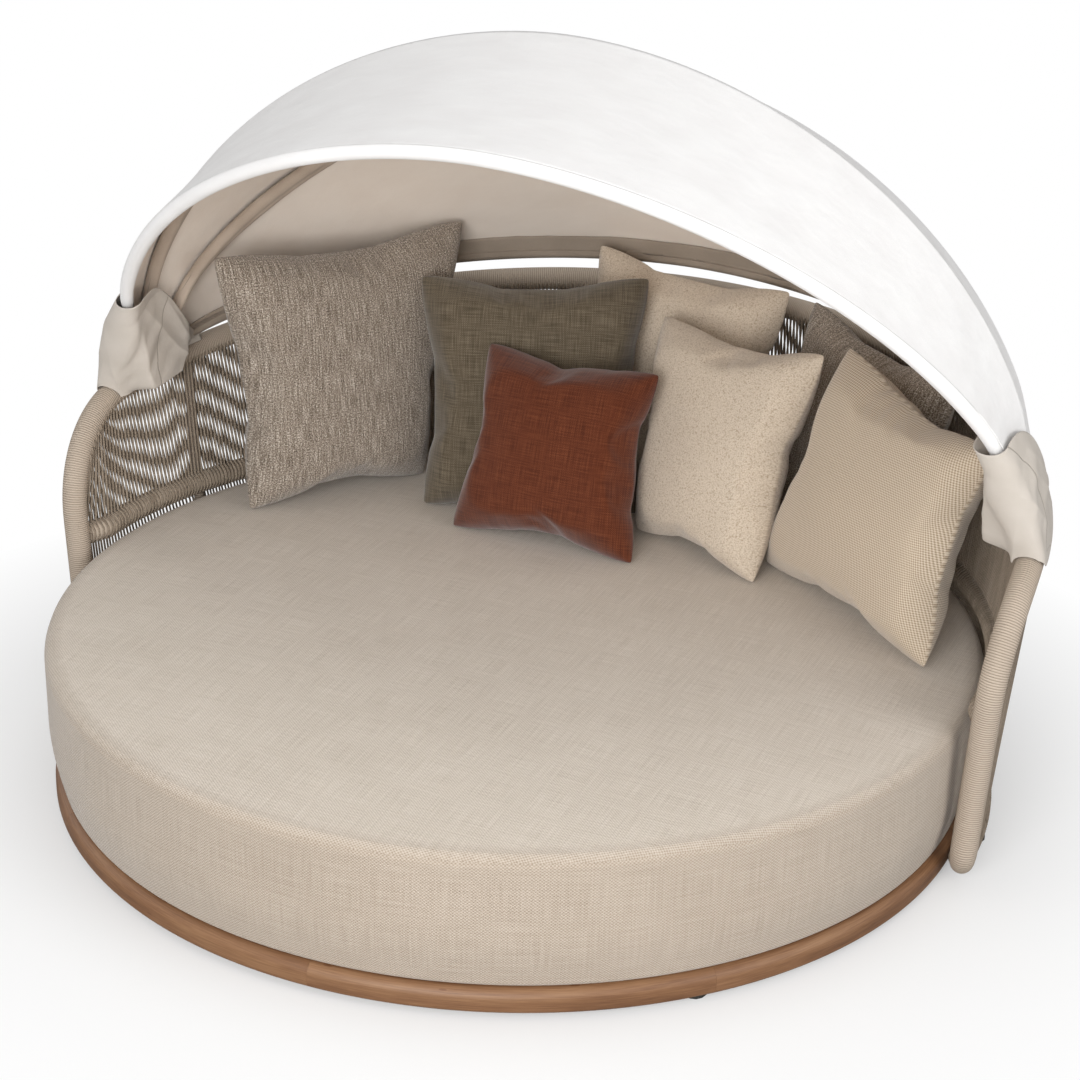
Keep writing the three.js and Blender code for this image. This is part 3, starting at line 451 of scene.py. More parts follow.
def pillow_finish(kind, name, shift):
    """The pillow fabrics: tweed is specks and streaks, olive and rust are a plain weave with
    slubs, boucle is small loops, and the last is a basket weave set slantwise."""
    f = Finish(name, 0.95, sheen=0.3, specular=0.15)
    uv = f.uv()
    fine = f.noise(uv, 900.0, 1.0)
    if kind == "tweed":
        speck = f.noise(f.moved(uv, (400.0, 300.0, 1), shift=(shift, 0, 0)), 1.0, 2.0, 0.7)
        streak = f.noise(f.moved(uv, (300.0, 18.0, 1)), 1.0, 1.0)
        colour = f.ramp(f.weighted((speck, 0.75), (streak, 0.25)), (0.30, (52, 44, 36)),
                        (0.43, (104, 92, 80)), (0.53, (150, 138, 125)), (0.66, (216, 207, 195)))
        return f.done(colour, f.bump(speck, 0.0022, 0.8))
    if kind in ("olive", "rust"):
        dark, middle, light = {
            "olive": ((51, 44, 34), (92, 82, 67), (122, 111, 94)),
            "rust": ((52, 20, 9), (90, 43, 23), (113, 62, 38)),
        }[kind]
        slub_v, slub_u = slubs(f, uv, 420.0, 16.0)
        tone = f.weighted((threads(f, uv, 0.0042, 0.0042), 0.22), (slub_v, 0.32), (slub_u, 0.32),
                          (fine, 0.15))
        colour = f.ramp(tone, (0.30, dark), (0.5, middle), (0.66, light))
        return f.done(colour, f.bump(tone, 0.0014, 0.7))
    if kind == "boucle":
        loops = f.noise(uv, 420.0, 3.0, 0.6)
        tone = f.math("MULTIPLY_ADD", f.cells(uv, 330.0), -0.6, f.add(loops, 0.32))
        colour = f.ramp(tone, (0.12, (160, 142, 121)), (0.42, (193, 177, 158)),
                        (0.74, (214, 201, 184)))
        return f.done(colour, f.bump(tone, 0.0016, 0.8))
    dots = threads(f, f.moved(uv, turn=(0, 0, 0.62)), 0.0078, 0.0062)
    tone = f.weighted((dots, 0.55), (fine, 0.45))
    colour = f.ramp(tone, (0.25, (140, 122, 100)), (0.5, (188, 171, 150)), (0.78, (216, 203, 185)))
    return f.done(colour, f.bump(tone, 0.0018, 0.7))


def hard_finish(name, roughness, low, high, stretch, scale, detail=3.0, height=0.0003, **shine):
    """Painted or brushed metal, rubber or dark board: a fine grain between two close tones."""
    f = Finish(name, roughness, **shine)
    grain = f.noise(f.moved(f.place(), stretch), scale, detail)
    return f.done(f.ramp(grain, (0.3, low), (0.7, high)), f.bump(grain, height, 0.4))


# ---------------- back frame line
def rail_height(y):
    """Height of the top line at a setback: a straight slope, then a quarter oval to the leg."""
    top = ARM_HEIGHT + ARM_RISE * CORNER_START
    share = np.clip((CORNER_START - y) / (CORNER_START + POST_BULGE), 0, 1)
    curved = CORNER_FOOT_HEIGHT + (top - CORNER_FOOT_HEIGHT) * np.sqrt(1 - share * share)
    return np.where(y >= CORNER_START, ARM_HEIGHT + ARM_RISE * y, curved)


def frame_radius(z):
    """How far the leaning middle surface of the back frame stands from the centre."""
    return FOOT_RADIUS + LEAN * (z - FOOT_HEIGHT)


def frame_x(y, z, outset=0.0):
    """Half the frame's width at a setback and height: the circle's x at that y."""
    return np.sqrt((frame_radius(z) + outset) ** 2 - y * y)


def rail_centre(angle):
    """Radius and height of the top rail at angles from the back, in radians. Each depends on
    the other, so a first guess is bettered eight times."""
    radius = np.full_like(angle, 1.09)
    for _ in range(8):
        radius = frame_radius(rail_height(radius * np.cos(angle)))
    return radius, rail_height(radius * np.cos(angle))


def frame_line():
    """Left foot, left corner, rail, right corner, right foot, with its bends evened out.

    The corner is a quarter oval. Below it the leg stands ever further outside the middle surface,
    and a quarter circle turns its foot back into the bottom rail."""
    share = np.linspace(0, 1, 80)
    turn = np.linspace(0, PI / 2, 80)[:-1]
    corner_y = CORNER_START - (CORNER_START + POST_BULGE) * np.sin(turn)
    leg_y = -POST_BULGE + (POST_BULGE - POST_FOOT_BACK) * share
    elbow_y = (-POST_FOOT_BACK + ELBOW_RADIUS * (1 - np.cos(turn)))[1:]
    leg_foot = BOTTOM_HEIGHT + ELBOW_RADIUS
    leg_z = CORNER_FOOT_HEIGHT + (leg_foot - CORNER_FOOT_HEIGHT) * share
    elbow_z = (leg_foot - ELBOW_RADIUS * np.sin(turn))[1:]
    side_y = np.concatenate([corner_y, leg_y, elbow_y])
    side_z = np.concatenate([rail_height(corner_y), leg_z, elbow_z])
    top = float(rail_height(np.array(CORNER_START)))
    outset = POST_OUTSET * (top - side_z) / (top - FOOT_HEIGHT)
    upright = np.cos(turn[1:])
    inset = (FOOT_RADIUS - BOTTOM_RADIUS) * (1 - upright)
    outset[-len(elbow_y):] = outset[-len(elbow_y):] * upright ** 0.5 - inset
    side = np.stack([frame_x(side_y, side_z, outset), side_y, side_z], 1)
    end = np.arccos(CORNER_START / frame_radius(top))
    angle = np.linspace(-end, end, 400)[1:-1]
    radius, height = rail_centre(angle)
    rail = polar(radius, angle, height)
    line = evenly(np.concatenate([side[::-1] * (-1, 1, 1), rail, side]), 1600)
    window = np.hanning(27)
    window /= window.sum()
    ends = len(window) // 2
    padded = np.concatenate([np.repeat(line[:1], ends, 0), line, np.repeat(line[-1:], ends, 0)])
    even = np.stack([np.convolve(padded[:, k], window, "valid") for k in range(3)], 1)
    return evenly(even, LINE_STEPS)


# ---------------- hoops and cloth
def hoop_width(k, distance):
    """Half the width of hoop k's oval at a distance from the pivot axis."""
    share, _, _, curve, _ = HOOPS[k]
    return HOOP_HALF * (1 - (distance / (share * HOOP_HALF)) ** curve) ** (1 / curve)


def hoop_line(k, turn, outwards=0.0, across=0.0):
    """Points of hoop k's line from the cloth's right end to its left end: an oval, with an
    exponent of its own for each hoop, whose ends draw in to their lane of the hub.

    turn goes from 0 on the right to 1 on the left, outwards is square to the line in the hoop's
    plane, and across is square to that plane, towards the front."""
    share, angle, inset, curve, _ = HOOPS[k]
    reach = share * HOOP_HALF
    begin = np.arcsin((CLOTH_START / reach) ** (curve / 2))
    phase = begin + (PI - 2 * begin) * turn
    cosine = np.cos(phase)
    wide = HOOP_HALF * np.abs(cosine) ** (2 / curve)
    distance = reach * np.sin(phase) ** (2 / curve)
    near = np.clip((TOE_START - distance) / TOE_RUN, 0, 1)
    toe = (hoop_width(k, TOE_END) - (STACK_END - inset)) * near ** 2
    normal_x = wide ** (curve - 1) / HOOP_HALF ** curve
    normal_out = distance ** (curve - 1) / reach ** curve
    size = np.hypot(normal_x, normal_out)
    x = np.sign(cosine) * (wide - toe + normal_x / size * outwards)
    out = distance + normal_out / size * outwards
    a = np.radians(angle)
    y = PIVOT_Y + out * np.cos(a) - across * np.sin(a)
    z = PIVOT_Z + out * np.sin(a) + across * np.cos(a)
    return grid_of(x, y, z)


def fan_blend(piece, k):
    """Bakes the piece's placement into its mesh, reads its points and finds the middles of hoop
    k's line and of the next one's; it moves no point."""
    start, end = (tuple(hoop_line(n, np.array([0.5]))[0]) for n in (k, k + 1))
    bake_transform(piece)
    points = np.empty(len(piece.data.vertices) * 3)
    piece.data.vertices.foreach_get("co", points)
    points = points.reshape(-1, 3)


def make_gore(name, k, looks):
    """Cloth between two hoops: straight from hoop to hoop, sagging in the middle, with small
    puckers beside both seams and broader folds between them."""
    sag_depth, pucker_size, fold_size, seam_reach = 0.0050, 0.0011, 0.0019, 0.05
    u = np.linspace(0, 1, 300)[None]
    v = np.linspace(0, 1, 60)[:, None]
    lows = hoop_line(k, u[0], CLOTH_OUT)[None]
    highs = hoop_line(k + 1, u[0], CLOTH_OUT)[None]
    points = lows + (highs - lows) * v[..., None]
    normal = unit(np.cross(np.gradient(points, axis=1), np.gradient(points, axis=0)))
    out = points - np.array([0.0, PIVOT_Y, PIVOT_Z])
    normal *= np.sign((normal * out).sum(2, keepdims=True))
    length = line_length(highs[0])
    run = u * length
    span = np.linalg.norm(highs - lows, axis=2)
    middle = np.sin(PI * v)
    sag = sag_depth * middle * (0.7 + 0.3 * ripple(run * 6, v * 2, 3 + k))
    near_seam = np.exp(-np.minimum(v, 1 - v) * span / seam_reach) * middle ** 0.25
    pucker = pucker_size * ripple(run * 95, v * 1.5, 11 + k) * near_seam
    broad = fold_size * ripple(run * 16, v * 3 + run * 2, 21 + k) * middle
    points = points + normal * (pucker + broad - sag)[..., None]
    across = walked(points)
    piece = surface(name, points, np.broadcast_to(run, across.shape), across, looks)
    return piece, length, float(span.max())


def inner_band(k, u, reach):
    """A flat band that hugs the hoop's inner side: along the hoop's width and square to it, a
    shallow arch with waving edges that slopes to lie beside the cloth."""
    narrowest, widest, rim_out, depth, wave_size = 0.0128, 0.024, 0.0138, 0.029, 0.0014
    slope = np.tan(np.radians(23 if k == 1 else 18))
    s = np.linspace(-1, 1, 15)
    wave = wave_size * ripple(u * 60, 0 * u, 31 + k)
    half = np.clip(0.056 * reach, narrowest, widest)
    a = s[:, None] * half
    b = rim_out - np.abs(a) * slope - depth * ((1 - s * s) ** 0.6)[:, None]
    return a + (wave * half / widest) * (np.sign(s) * np.abs(s) ** 3)[:, None], b


def edge_wrap(k, u, reach):
    """Cloth round a hoop at the canopy's edge: most of a circle, then a flap that is sewn back
    on the cloth, with a seam pressed in where the two meet. The rear one's flap is puckered."""
    wrap_rows, flap_rows, seam_row = 20, 6, 17
    hub_radius, growth, narrowest, widest, flap_out = 0.0130, 0.0030, 0.015, 0.046, 0.0136
    seam_depth, wave_size, pucker_size = 0.0016, 0.0010, 0.0030
    turn = np.radians(np.linspace(96, -128, wrap_rows))[:, None]
    radius = hub_radius + growth * smoothstep((reach - 0.16) / 0.20)
    flap = np.clip(0.066 * reach, narrowest, widest)
    tail = np.linspace(0.16, 1, flap_rows)[:, None]
    gap = np.tan(np.radians(15.5 if k == 3 else 22.0))
    a = np.concatenate([radius * np.cos(turn), -flap * tail])
    start_b, end_b = radius * np.sin(turn[-1]), flap_out - flap * gap
    b = np.concatenate([radius * np.sin(turn), start_b + (end_b - start_b) * tail ** 0.8])
    row = np.arange(len(a))[:, None]
    seam = seam_depth * np.exp(-((row - seam_row) / 0.8) ** 2)
    way_round = np.arctan2(b, a)
    a, b = a - seam * np.cos(way_round), b - seam * np.sin(way_round)
    wave = wave_size * ripple(u * 70, 0 * u, 41 + k)
    a = (1 if k == 3 else -1) * a + wave[None] * (row > wrap_rows + 3)
    if k == 0:
        rise = np.linspace(0, 1, len(a))[:, None]
        pucker = pucker_size * ripple(u[None] * 120 + rise * 9, rise * 2, 45, 4)
        b = b - np.abs(pucker * (row >= wrap_rows)) * (flap / widest)
    return a, b, np.broadcast_to((row > seam_row).astype(int), a.shape)


def make_sleeve(name, k, looks, inner):
    """The seam pocket that holds a hoop: its section follows the hoop's line, and narrows
    towards the hub, where the hoops meet when the canopy is folded."""
    u = np.linspace(0, 1, 260)
    line = hoop_line(k, u)
    reach = np.hypot(line[:, 1] - PIVOT_Y, line[:, 2] - PIVOT_Z)
    a, b, look_of = (*inner_band(k, u, reach), None) if inner else edge_wrap(k, u, reach)
    points = np.stack([hoop_line(k, u, b[r], a[r]) for r in range(len(a))])
    length = line_length(points[0])
    across = walked(points)
    run = np.broadcast_to(u * length, a.shape)
    piece = surface(name, points, run, across, looks, inner or k != 3, look_of)
    return piece, length, float(across[-1].mean())


def pocket_grid(side):
    """The pocket's middle surface, from the inner back round the nose to the outer back. Its hem
    hugs the rail, its inner wall turns in under the hub, its outer wall climbs to the hoops, and
    folds of cloth run slantwise over both. Rows crowd towards the hem.

    x = the middle of the two walls + or - half their distance, times a sine that closes the
    nose. y runs back as 1 - cosine. z = hem + (top - hem) x share."""
    nose_hem, nose_top, back_end = 0.062, 0.014, 0.360
    front_rise, back_rise, hump_rise = 0.196, 0.030, 0.050
    rail_gap, hub_gap, inner_gap, outer_gap, back_sink = 0.0052, 0.011, 0.022, 0.0215, 0.018
    hub_half, hub_fade, hub_hem_in, belly_in = 0.055, 0.060, 0.009, 0.006
    back_start, back_run, hem_turn_run, hub_tuck, whole_tuck = 0.25, 0.11, 0.130, 0.0625, 0.70
    slant_fold, fine_fold, crease_fold, flatter, hem_wave = 0.0042, 0.0014, 0.0050, 0.0020, 0.0025
    s, v = np.meshgrid(np.linspace(-1, 1, 190), np.linspace(0, 1, 90) ** 1.6)
    far = np.abs(s)
    nose = nose_hem + (nose_top - nose_hem) * v
    y = nose + (back_end - nose) * (1 - np.cos(far * PI / 2))
    back = np.clip((y - nose_top) / (back_end - nose_top), 0, 1)
    hump = hump_rise * np.sin(PI * np.minimum(back / 0.7, 1))
    top = PIVOT_Z + front_rise + (back_rise - front_rise) * back ** 1.5 + hump
    lowest = rail_height(np.maximum(y, 0.110)) - 0.004
    distance = np.hypot(y - PIVOT_Y, lowest + (top - lowest) * v - PIVOT_Z)
    widths = np.stack([hoop_width(k, distance) for k in range(len(HOOPS))])
    rail_x = frame_x(y, rail_height(y))
    beside = RAIL_TUBE + rail_gap
    inner_top = np.minimum(HUB_FACE - hub_gap, widths.min(0) - inner_gap)
    to_rail = smoothstep((y - back_start) / back_run)
    inner_top = inner_top + (rail_x - back_sink - inner_top) * to_rail
    off_hub = smoothstep((np.abs(y - PIVOT_Y) - hub_half) / hub_fade)
    hem_turn = np.radians(50) * smoothstep((y - PIVOT_Y) / hem_turn_run)
    inner_hem = rail_x - beside * np.cos(hem_turn) - hub_hem_in * (1 - off_hub)
    tuck = hub_tuck + (whole_tuck - hub_tuck) * off_hub
    inner = inner_hem + (inner_top - inner_hem) * smoothstep(v / tuck)
    outer_top = widths.max(0) + outer_gap
    outer = rail_x + beside + (outer_top - rail_x - beside) * v ** 1.1 - belly_in * np.sin(PI * v)
    spread = np.sin(np.minimum(1, far / 0.25) * PI / 2)
    drape = np.sin(PI * v) ** 0.8
    slant = ripple(10 * far - 8 * v, 3 * v, 51 + side, 4)
    fine = ripple(26 * far - 19 * v, 8 * v, 61 + side)
    crease = 0.6 - np.abs(ripple(12 * far + 9 * v, 2 * v, 71 + side, 3))
    folds = slant_fold * slant + fine_fold * fine + crease_fold * crease
    soft = drape * folds * (1 - far ** 6) - flatter * drape * (s > 0)
    x = (outer + inner) / 2 + np.sign(s) * ((outer - inner) / 2 + soft) * spread
    lift = np.sqrt(np.maximum(0, beside ** 2 - (x - rail_x) ** 2))
    hem = np.maximum(lowest, rail_height(y) + lift * np.sqrt(1 + ARM_RISE ** 2))
    hem = hem - hem_wave * ripple(16 * s, 0 * s, 91 + side) * (s > 0.1)
    return grid_of(x * side, y, hem + (top - hem) * v)


def make_pocket(name, side, looks):
    """The cloth bag over one hub."""
    points = pocket_grid(side)
    rise, run = walked(points), walked(points, 1)
    piece = surface(name, points, run, rise, looks, side < 0)
    return piece, float(run[:, -1].max()), float(rise[-1].max())


# ---------------- pillows
PILLOWS = [
    # name, fabric, side and depth over the mattress radius, turn, lean, seat over that radius,
    # corners over the side: low left, low right, top right, top left
    ("pillow_tweed_left", "tweed", 0.638, 0.169, 56, 6, (-0.655, 0.425),
     ((-0.39, 0.0), (0.37, 0.0), (0.6, 0.98), (-0.46, 0.98))),
    ("pillow_olive", "olive", 0.548, 0.130, 20, 14, (-0.19, 0.52),
     ((-0.49, 0.0), (0.47, 0.0), (0.47, 1.04), (-0.53, 1.01))),
    ("pillow_rust", "rust", 0.449, 0.120, -2, 20, (-0.08, 0.33),
     ((-0.54, 0.0), (0.5, 0.0), (0.47, 0.98), (-0.5, 0.99))),
    ("pillow_boucle_front", "boucle", 0.518, 0.140, -26, 18, (0.25, 0.43),
     ((-0.39, 0.0), (0.37, 0.0), (0.4, 1.05), (-0.58, 0.97))),
    ("pillow_weave_right", "weave", 0.578, 0.140, -38, 14, (0.65, 0.285),
     ((-0.56, 0.0), (0.5, 0.0), (0.51, 0.85), (-0.42, 0.95))),
    ("pillow_boucle_back", "boucle", 0.518, 0.130, -4, 13, (0.045, 0.75),
     ((-0.45, 0.0), (0.45, 0.0), (0.5, 1.06), (-0.49, 1.13))),
    ("pillow_tweed_right", "tweed", 0.528, 0.110, -33, 12, (0.51, 0.67),
     ((-0.46, 0.0), (0.46, 0.0), (0.5, 0.9), (-0.5, 0.99))),
]
CROWN = 0.018


def seat_height(x, y):
    """Height of the mattress top: a crown that falls off with the fourth power of the radius."""
    rim, edge = 0.9867, 0.3484
    return edge + CROWN * (1 - np.clip(np.hypot(x, y) / rim, 0, 1) ** 4)


def across_square(low_left, low_right, top_left, top_right, u, v):
    """What lies between four corners: even shares u along and v up."""
    low, top = low_left + (low_right - low_left) * u, top_left + (top_right - top_left) * u
    return low * (1 - v) + top * v


def make_pillow(row, look):
    """Two crowned faces with a knife edge between them, blown up as cloth, then smoothed. The
    grid's corners are drawn in a little, its sides too, and each face stands off the middle by
    its crown, (1 - a cubed) x (1 - b cubed) to the power 0.55, with soft dents."""
    name, kind, side, depth, turn, lean, seat, corners = row
    edge_half, draw = 0.0022, 0.030
    side, half = side * MATTRESS_RADIUS, depth * MATTRESS_RADIUS / 2
    t, l = np.radians(turn), np.radians(lean)
    across = np.array([np.cos(t), np.sin(t), 0])
    front = np.array([across[1], -across[0], 0])
    up = np.array([-front[0] * np.sin(l), -front[1] * np.sin(l), np.cos(l)])
    normal = np.array([front[0] * np.cos(l), front[1] * np.cos(l), np.sin(l)])
    count = 41
    a, b = np.meshgrid(np.linspace(-1, 1, count), np.linspace(-1, 1, count))
    corner = 1 - draw * (a * b) ** 6
    su = ((1 + a * corner * (1 - draw * (1 - b * b) * a * a)) / 2)[..., None]
    sv = ((1 + b * corner * (1 - draw * (1 - a * a) * b * b)) / 2)[..., None]
    low_left, low_right, top_right, top_left = (np.array(c) for c in corners)
    share = across_square(low_left, low_right, top_left, top_right, su, sv)
    flat = (np.array([*(np.array(seat) * MATTRESS_RADIUS), 0.0])
            + (share[..., :1] * across + share[..., 1:] * up) * side)
    crown = ((1 - np.abs(a) ** 3) * (1 - np.abs(b) ** 3)) ** 0.55
    seed = 80 + len(name) + int(turn)
    dents = np.stack([ripple(3.2 * a, 3.2 * b, seed + n) for n in (0, 1)])
    deep = (edge_half + (half - edge_half) * crown) * (1 - 0.10 * crown * (1 + dents))
    deep = deep[..., None] * normal
    both = np.stack([flat - deep[0], flat + deep[1]])
    both[..., 2] += 0.0005 - (both[..., 2] - seat_height(both[..., 0], both[..., 1])).min()
    number = np.arange(count * count).reshape(count, count)
    i, j = grid_corners(count, count)
    quads = number[i, j]
    rim = np.concatenate([number[0, :-1], number[:-1, -1], number[-1, :0:-1], number[:0:-1, 0]])
    following = np.roll(rim, -1)
    back = count * count
    edge = np.stack([rim, following, following + back, rim + back], 1)
    faces = np.concatenate([quads[:, ::-1], quads + back, edge])
    flat_uv = (share * side).reshape(-1, 2)
    uv = np.concatenate([flat_uv[quads[:, ::-1]], flat_uv[quads] + (3.0, 0.0),
                         flat_uv[np.stack([rim, following, following, rim], 1)]])
    piece = finished(name + "_cushion", both, faces.tolist(), [look], uv)
    outward_faces(piece)
    blown_up(piece, count, normal)
    smooth = piece.modifiers.new("soft", "SUBSURF")
    smooth.levels = smooth.render_levels = 1
    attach(piece, "bed")
    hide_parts(name)


def blown_up(piece, count, normal):
    """Lets the piece swell as cloth for a few frames, then brings its four corners back to their
    places and keeps it clear of the mattress.

    The corners' shifts are spread over the faces by even shares of the grid. Only part of the
    shift along the faces is kept, so that the sides stay almost straight."""
    frames, kept_along, most, clear = 20, 0.45, 0.028, 0.0004
    mesh = piece.data
    before, after = np.empty((2, len(mesh.vertices) * 3))
    mesh.vertices.foreach_get("co", before)
    cloth = piece.modifiers.new("stuffing", "CLOTH")
    for key, value in (("quality", 6), ("mass", 0.3), ("tension_stiffness", 12),
                       ("compression_stiffness", 12), ("shear_stiffness", 6),
                       ("bending_stiffness", 0.4), ("use_pressure", True),
                       ("uniform_pressure_force", 4)):
        setattr(cloth.settings, key, value)
    cloth.settings.effector_weights.gravity = 0
    cloth.point_cache.frame_end = frames
    for k in range(frames):
        bpy.context.scene.frame_set(k + 1)
    ready = piece.evaluated_get(bpy.context.evaluated_depsgraph_get())
    ready.data.vertices.foreach_get("co", after)
    piece.modifiers.remove(cloth)
    bpy.context.scene.frame_set(1)
    before = before.reshape(-1, 3)
    moved = (after.reshape(-1, 3) - before).reshape(2, count, count, 3)
    share = np.linspace(0, 1, count)
    corners = moved[:, [0, 0, -1, -1], [0, -1, 0, -1]].mean(0)
    back = across_square(*corners, share[None, :, None], share[:, None, None])
    moved = (moved - back).reshape(-1, 3)
    outwards = (moved @ normal)[:, None] * normal
    moved = outwards + kept_along * (moved - outwards)
    far = np.linalg.norm(moved, axis=1, keepdims=True)
    moved *= np.minimum(1, most / np.maximum(far, 1e-9))
    after = before + moved
    after[:, 2] = np.maximum(after[:, 2], seat_height(after[:, 0], after[:, 1]) + clear)
    mesh.vertices.foreach_set("co", after.ravel())
    mesh.update()


# ---------------- mattress
def make_mattress(look):
    """A profile of radius and height turned round: tucked foot, swelling side, a seam, a rounded
    edge, a crowned top. Three sines of the turn make the side wavy, and one dents the top."""
    foot, tuck, low, side_start = 0.985, 0.014, 0.0623, 0.0763
    swell, edge_start, edge_radius = 0.018, 0.3243, 0.026
    seam, seam_half, seam_depth = 0.3335, 0.0025, 0.0012
    wave_size = dent_size = 0.0016
    bottom_hole, side_middle, top_from = 0.90, 0.20, 0.34
    a = np.linspace(0.15, 1, 5) * PI / 2
    share = np.linspace(0, 1, 26)[1:]
    edge = bend(MATTRESS_RADIUS - edge_radius, edge_start, edge_radius,
                np.linspace(0, 72, 15)[1:])
    rim, edge_top = edge[-1]
    inner = rim * (1 - np.linspace(0, 1, 40)[1:] ** 1.15)
    inner[-1] = 0.0
    points = np.concatenate([
        [(bottom_hole, low), (foot - tuck, low)],
        np.stack([foot - tuck + tuck * np.sin(a), low + tuck * (1 - np.cos(a))], 1),
        np.stack([foot + swell * np.sin(np.minimum(1, share / 0.45) * PI / 2),
                  side_start + (edge_start - side_start) * share], 1),
        edge,
        np.stack([inner, edge_top + CROWN * (1 - (inner / rim) ** 4)], 1)])
    near = np.exp(-((points[:, 1] - seam) / seam_half) ** 2) * (points[:, 0] > 0.99)
    points[:, 0] -= seam_depth * near
    count = 360
    turn = np.arange(count) / count * 2 * PI
    r, z = points[:, :1], points[:, 1:]
    arc = walked(points)[:, None]
    on_side = np.exp(-((z - side_middle) / 0.08) ** 2) * (r > 0.97)
    waves = np.sin(7 * turn + 1) + np.sin(17 * turn + 2) * 0.6 + np.sin(31 * turn) * 0.35
    inside, on_top = np.clip(r, 0, 1), z > top_from
    dent = dent_size * np.sin(3 * turn + 0.4) * inside ** 2 * (1 - inside ** 6) * on_top
    height = z + dent - dent_size * on_top * (1 - inside ** 6)
    grid = polar(r + wave_size * on_side * waves, turn, height)
    i, j = grid_corners(len(points), count, ring=True)
    faces = (i * count + j % count).tolist() + [list(range(count))[::-1]]
    is_top = (i[:, 0] >= int(np.argmax(points[:, 1] > seam)))[:, None, None]
    round_uv = np.stack([j * (2 * PI * MATTRESS_RADIUS / count), arc[i, 0]], -1)
    flat, way = (arc[-1] - arc)[i, 0], turn[j % count]
    flat_uv = np.stack([flat * np.sin(way), flat * np.cos(way)], -1)
    uv = np.concatenate([np.where(is_top, flat_uv + 10.0, round_uv).reshape(-1, 2),
                         np.stack([np.sin(turn), np.cos(turn)], 1)[::-1]])
    piece = finished("mattress_cover", grid, faces, [look], uv)
    outward_faces(piece, weld=True)
    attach(piece, "bed")
    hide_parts("mattress")


# ---------------- base ring
def make_teak(look):
    """Eight bent segments, a hair apart at their joints: a section with a rounded outer face,
    carried along one eighth of the circle. The grain starts at another place in each."""
    low_round, top_round, first_end, joint = 0.009, 0.022, 178.4, 0.0172
    grain_along, grain_across = 0.31, 0.17
    inner = BASE_RADIUS - BASE_WIDTH
    section = np.concatenate([
        [(inner, BASE_LOW)],
        bend(BASE_RADIUS - low_round, BASE_LOW + low_round, low_round, np.linspace(-90, 0, 7)),
        bend(BASE_RADIUS - top_round, BASE_TOP - top_round, top_round, np.linspace(0, 90, 13)),
        [(inner, BASE_TOP)]])
    girth = walked(np.concatenate([section, section[:1]]))
    around, steps = len(section), 37
    i, j = grid_corners(steps, around, ring=True)
    caps = [list(range(around)), [(steps - 1) * around + n for n in range(around)][::-1]]
    for k in range(8):
        start = first_end - 45 * (k + 1) + joint / 2
        angle = np.radians(np.linspace(start, start + 45 - joint, steps))
        points = polar(section[:, 0], angle[:, None], section[:, 1])
        uv = np.stack([(angle * BASE_RADIUS)[i] + grain_along * k, girth[j] + grain_across * k], -1)
        uv = np.concatenate([uv.reshape(-1, 2), section, section[::-1]])
        piece = finished(f"teak_segment_{k + 1}", points, (i * around + j % around).tolist() + caps,
                         [look], uv)
        outward_faces(piece)
        piece.data.polygons.foreach_set(
            "use_smooth", np.array([len(face.vertices) == 4 for face in piece.data.polygons]))
        piece.data.set_sharp_from_angle(angle=np.radians(50))
        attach(piece, "bed")
        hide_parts(f"teak_ring_{k + 1}")


# ---------------- rope-wrapped frame and nets
def ring_arc(radius, height, end_back):
    """A level arc round the back whose ends lie a little in front of the middle."""
    end = PI / 2 + np.arcsin(end_back / radius)
    return polar(radius, np.linspace(-end, end, 600), height)


def mid_radius(angle):
    """Radius of the mid rail at angles from the back: its ends turn out into the legs."""
    end = PI / 2 + np.arcsin(MID_END_BACK / MID_RADIUS)
    return MID_RADIUS * (1 + 0.026 * smoothstep((np.abs(angle) / end - 0.955) / 0.045))


def make_frame(wound, thick_wound, strand):
    """The tubes of the back frame under their winding, and the two nets between them. The top
    line's tube narrows to the bottom rail's at its two feet."""
    taper, strut_start, strut_end = 0.09, 0.035, 0.965
    line = frame_line()
    from_end = np.minimum(np.arange(LINE_STEPS), np.arange(LINE_STEPS)[::-1])
    from_end = from_end * line_length(line) / (LINE_STEPS - 1)
    tube = BOTTOM_TUBE + (RAIL_TUBE - BOTTOM_TUBE) * smoothstep(from_end / taper)
    top = tubes("wound_top_line", line[None], tube, 40, wound, side_hint=(0.0, -1.0, 0.12))
    for node in ("top_rail", "post_left", "post_right"):
        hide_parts(node)
    foot = ring_arc(BOTTOM_RADIUS, BOTTOM_HEIGHT, BOTTOM_END_BACK)
    middle = ring_arc(MID_RADIUS, MID_HEIGHT, MID_END_BACK)
    middle[:, :2] *= mid_radius(np.arctan2(middle[:, 0], middle[:, 1]))[:, None] / MID_RADIUS
    wrapped = [(tubes("wound_bottom_rail", foot[None], BOTTOM_TUBE, 32, wound), "bottom_rail"),
               (tubes("wound_mid_rail", middle[None], MID_TUBE, 32, thick_wound), "mid_rail")]
    for k, degrees in enumerate(STRUT_ANGLES):
        a = np.radians([float(degrees)])
        radius, height = rail_centre(a)
        low = polar(BOTTOM_RADIUS, a, BOTTOM_HEIGHT)
        high = polar(radius - STRUT_INSET, a, height)
        strut = low + (high - low) * np.linspace(strut_start, strut_end, 60)[:, None]
        name = f"strut_{k + 1}"
        piece = tubes("wound_" + name, strut[None], STRUT_TUBE, 20, wound, (1.0, 0.2, 0.0))
        wrapped.append((piece, name))
    for piece, node in wrapped:
        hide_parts(node)
    for piece in [top] + [piece for piece, _ in wrapped]:
        outward_faces(piece)
        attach(piece, "bed")
    for piece, node in ((outer_net(strand), "rope_net_outer"),
                        (inner_net(strand), "rope_net_inner")):
        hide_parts(node)
        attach(piece, "bed")


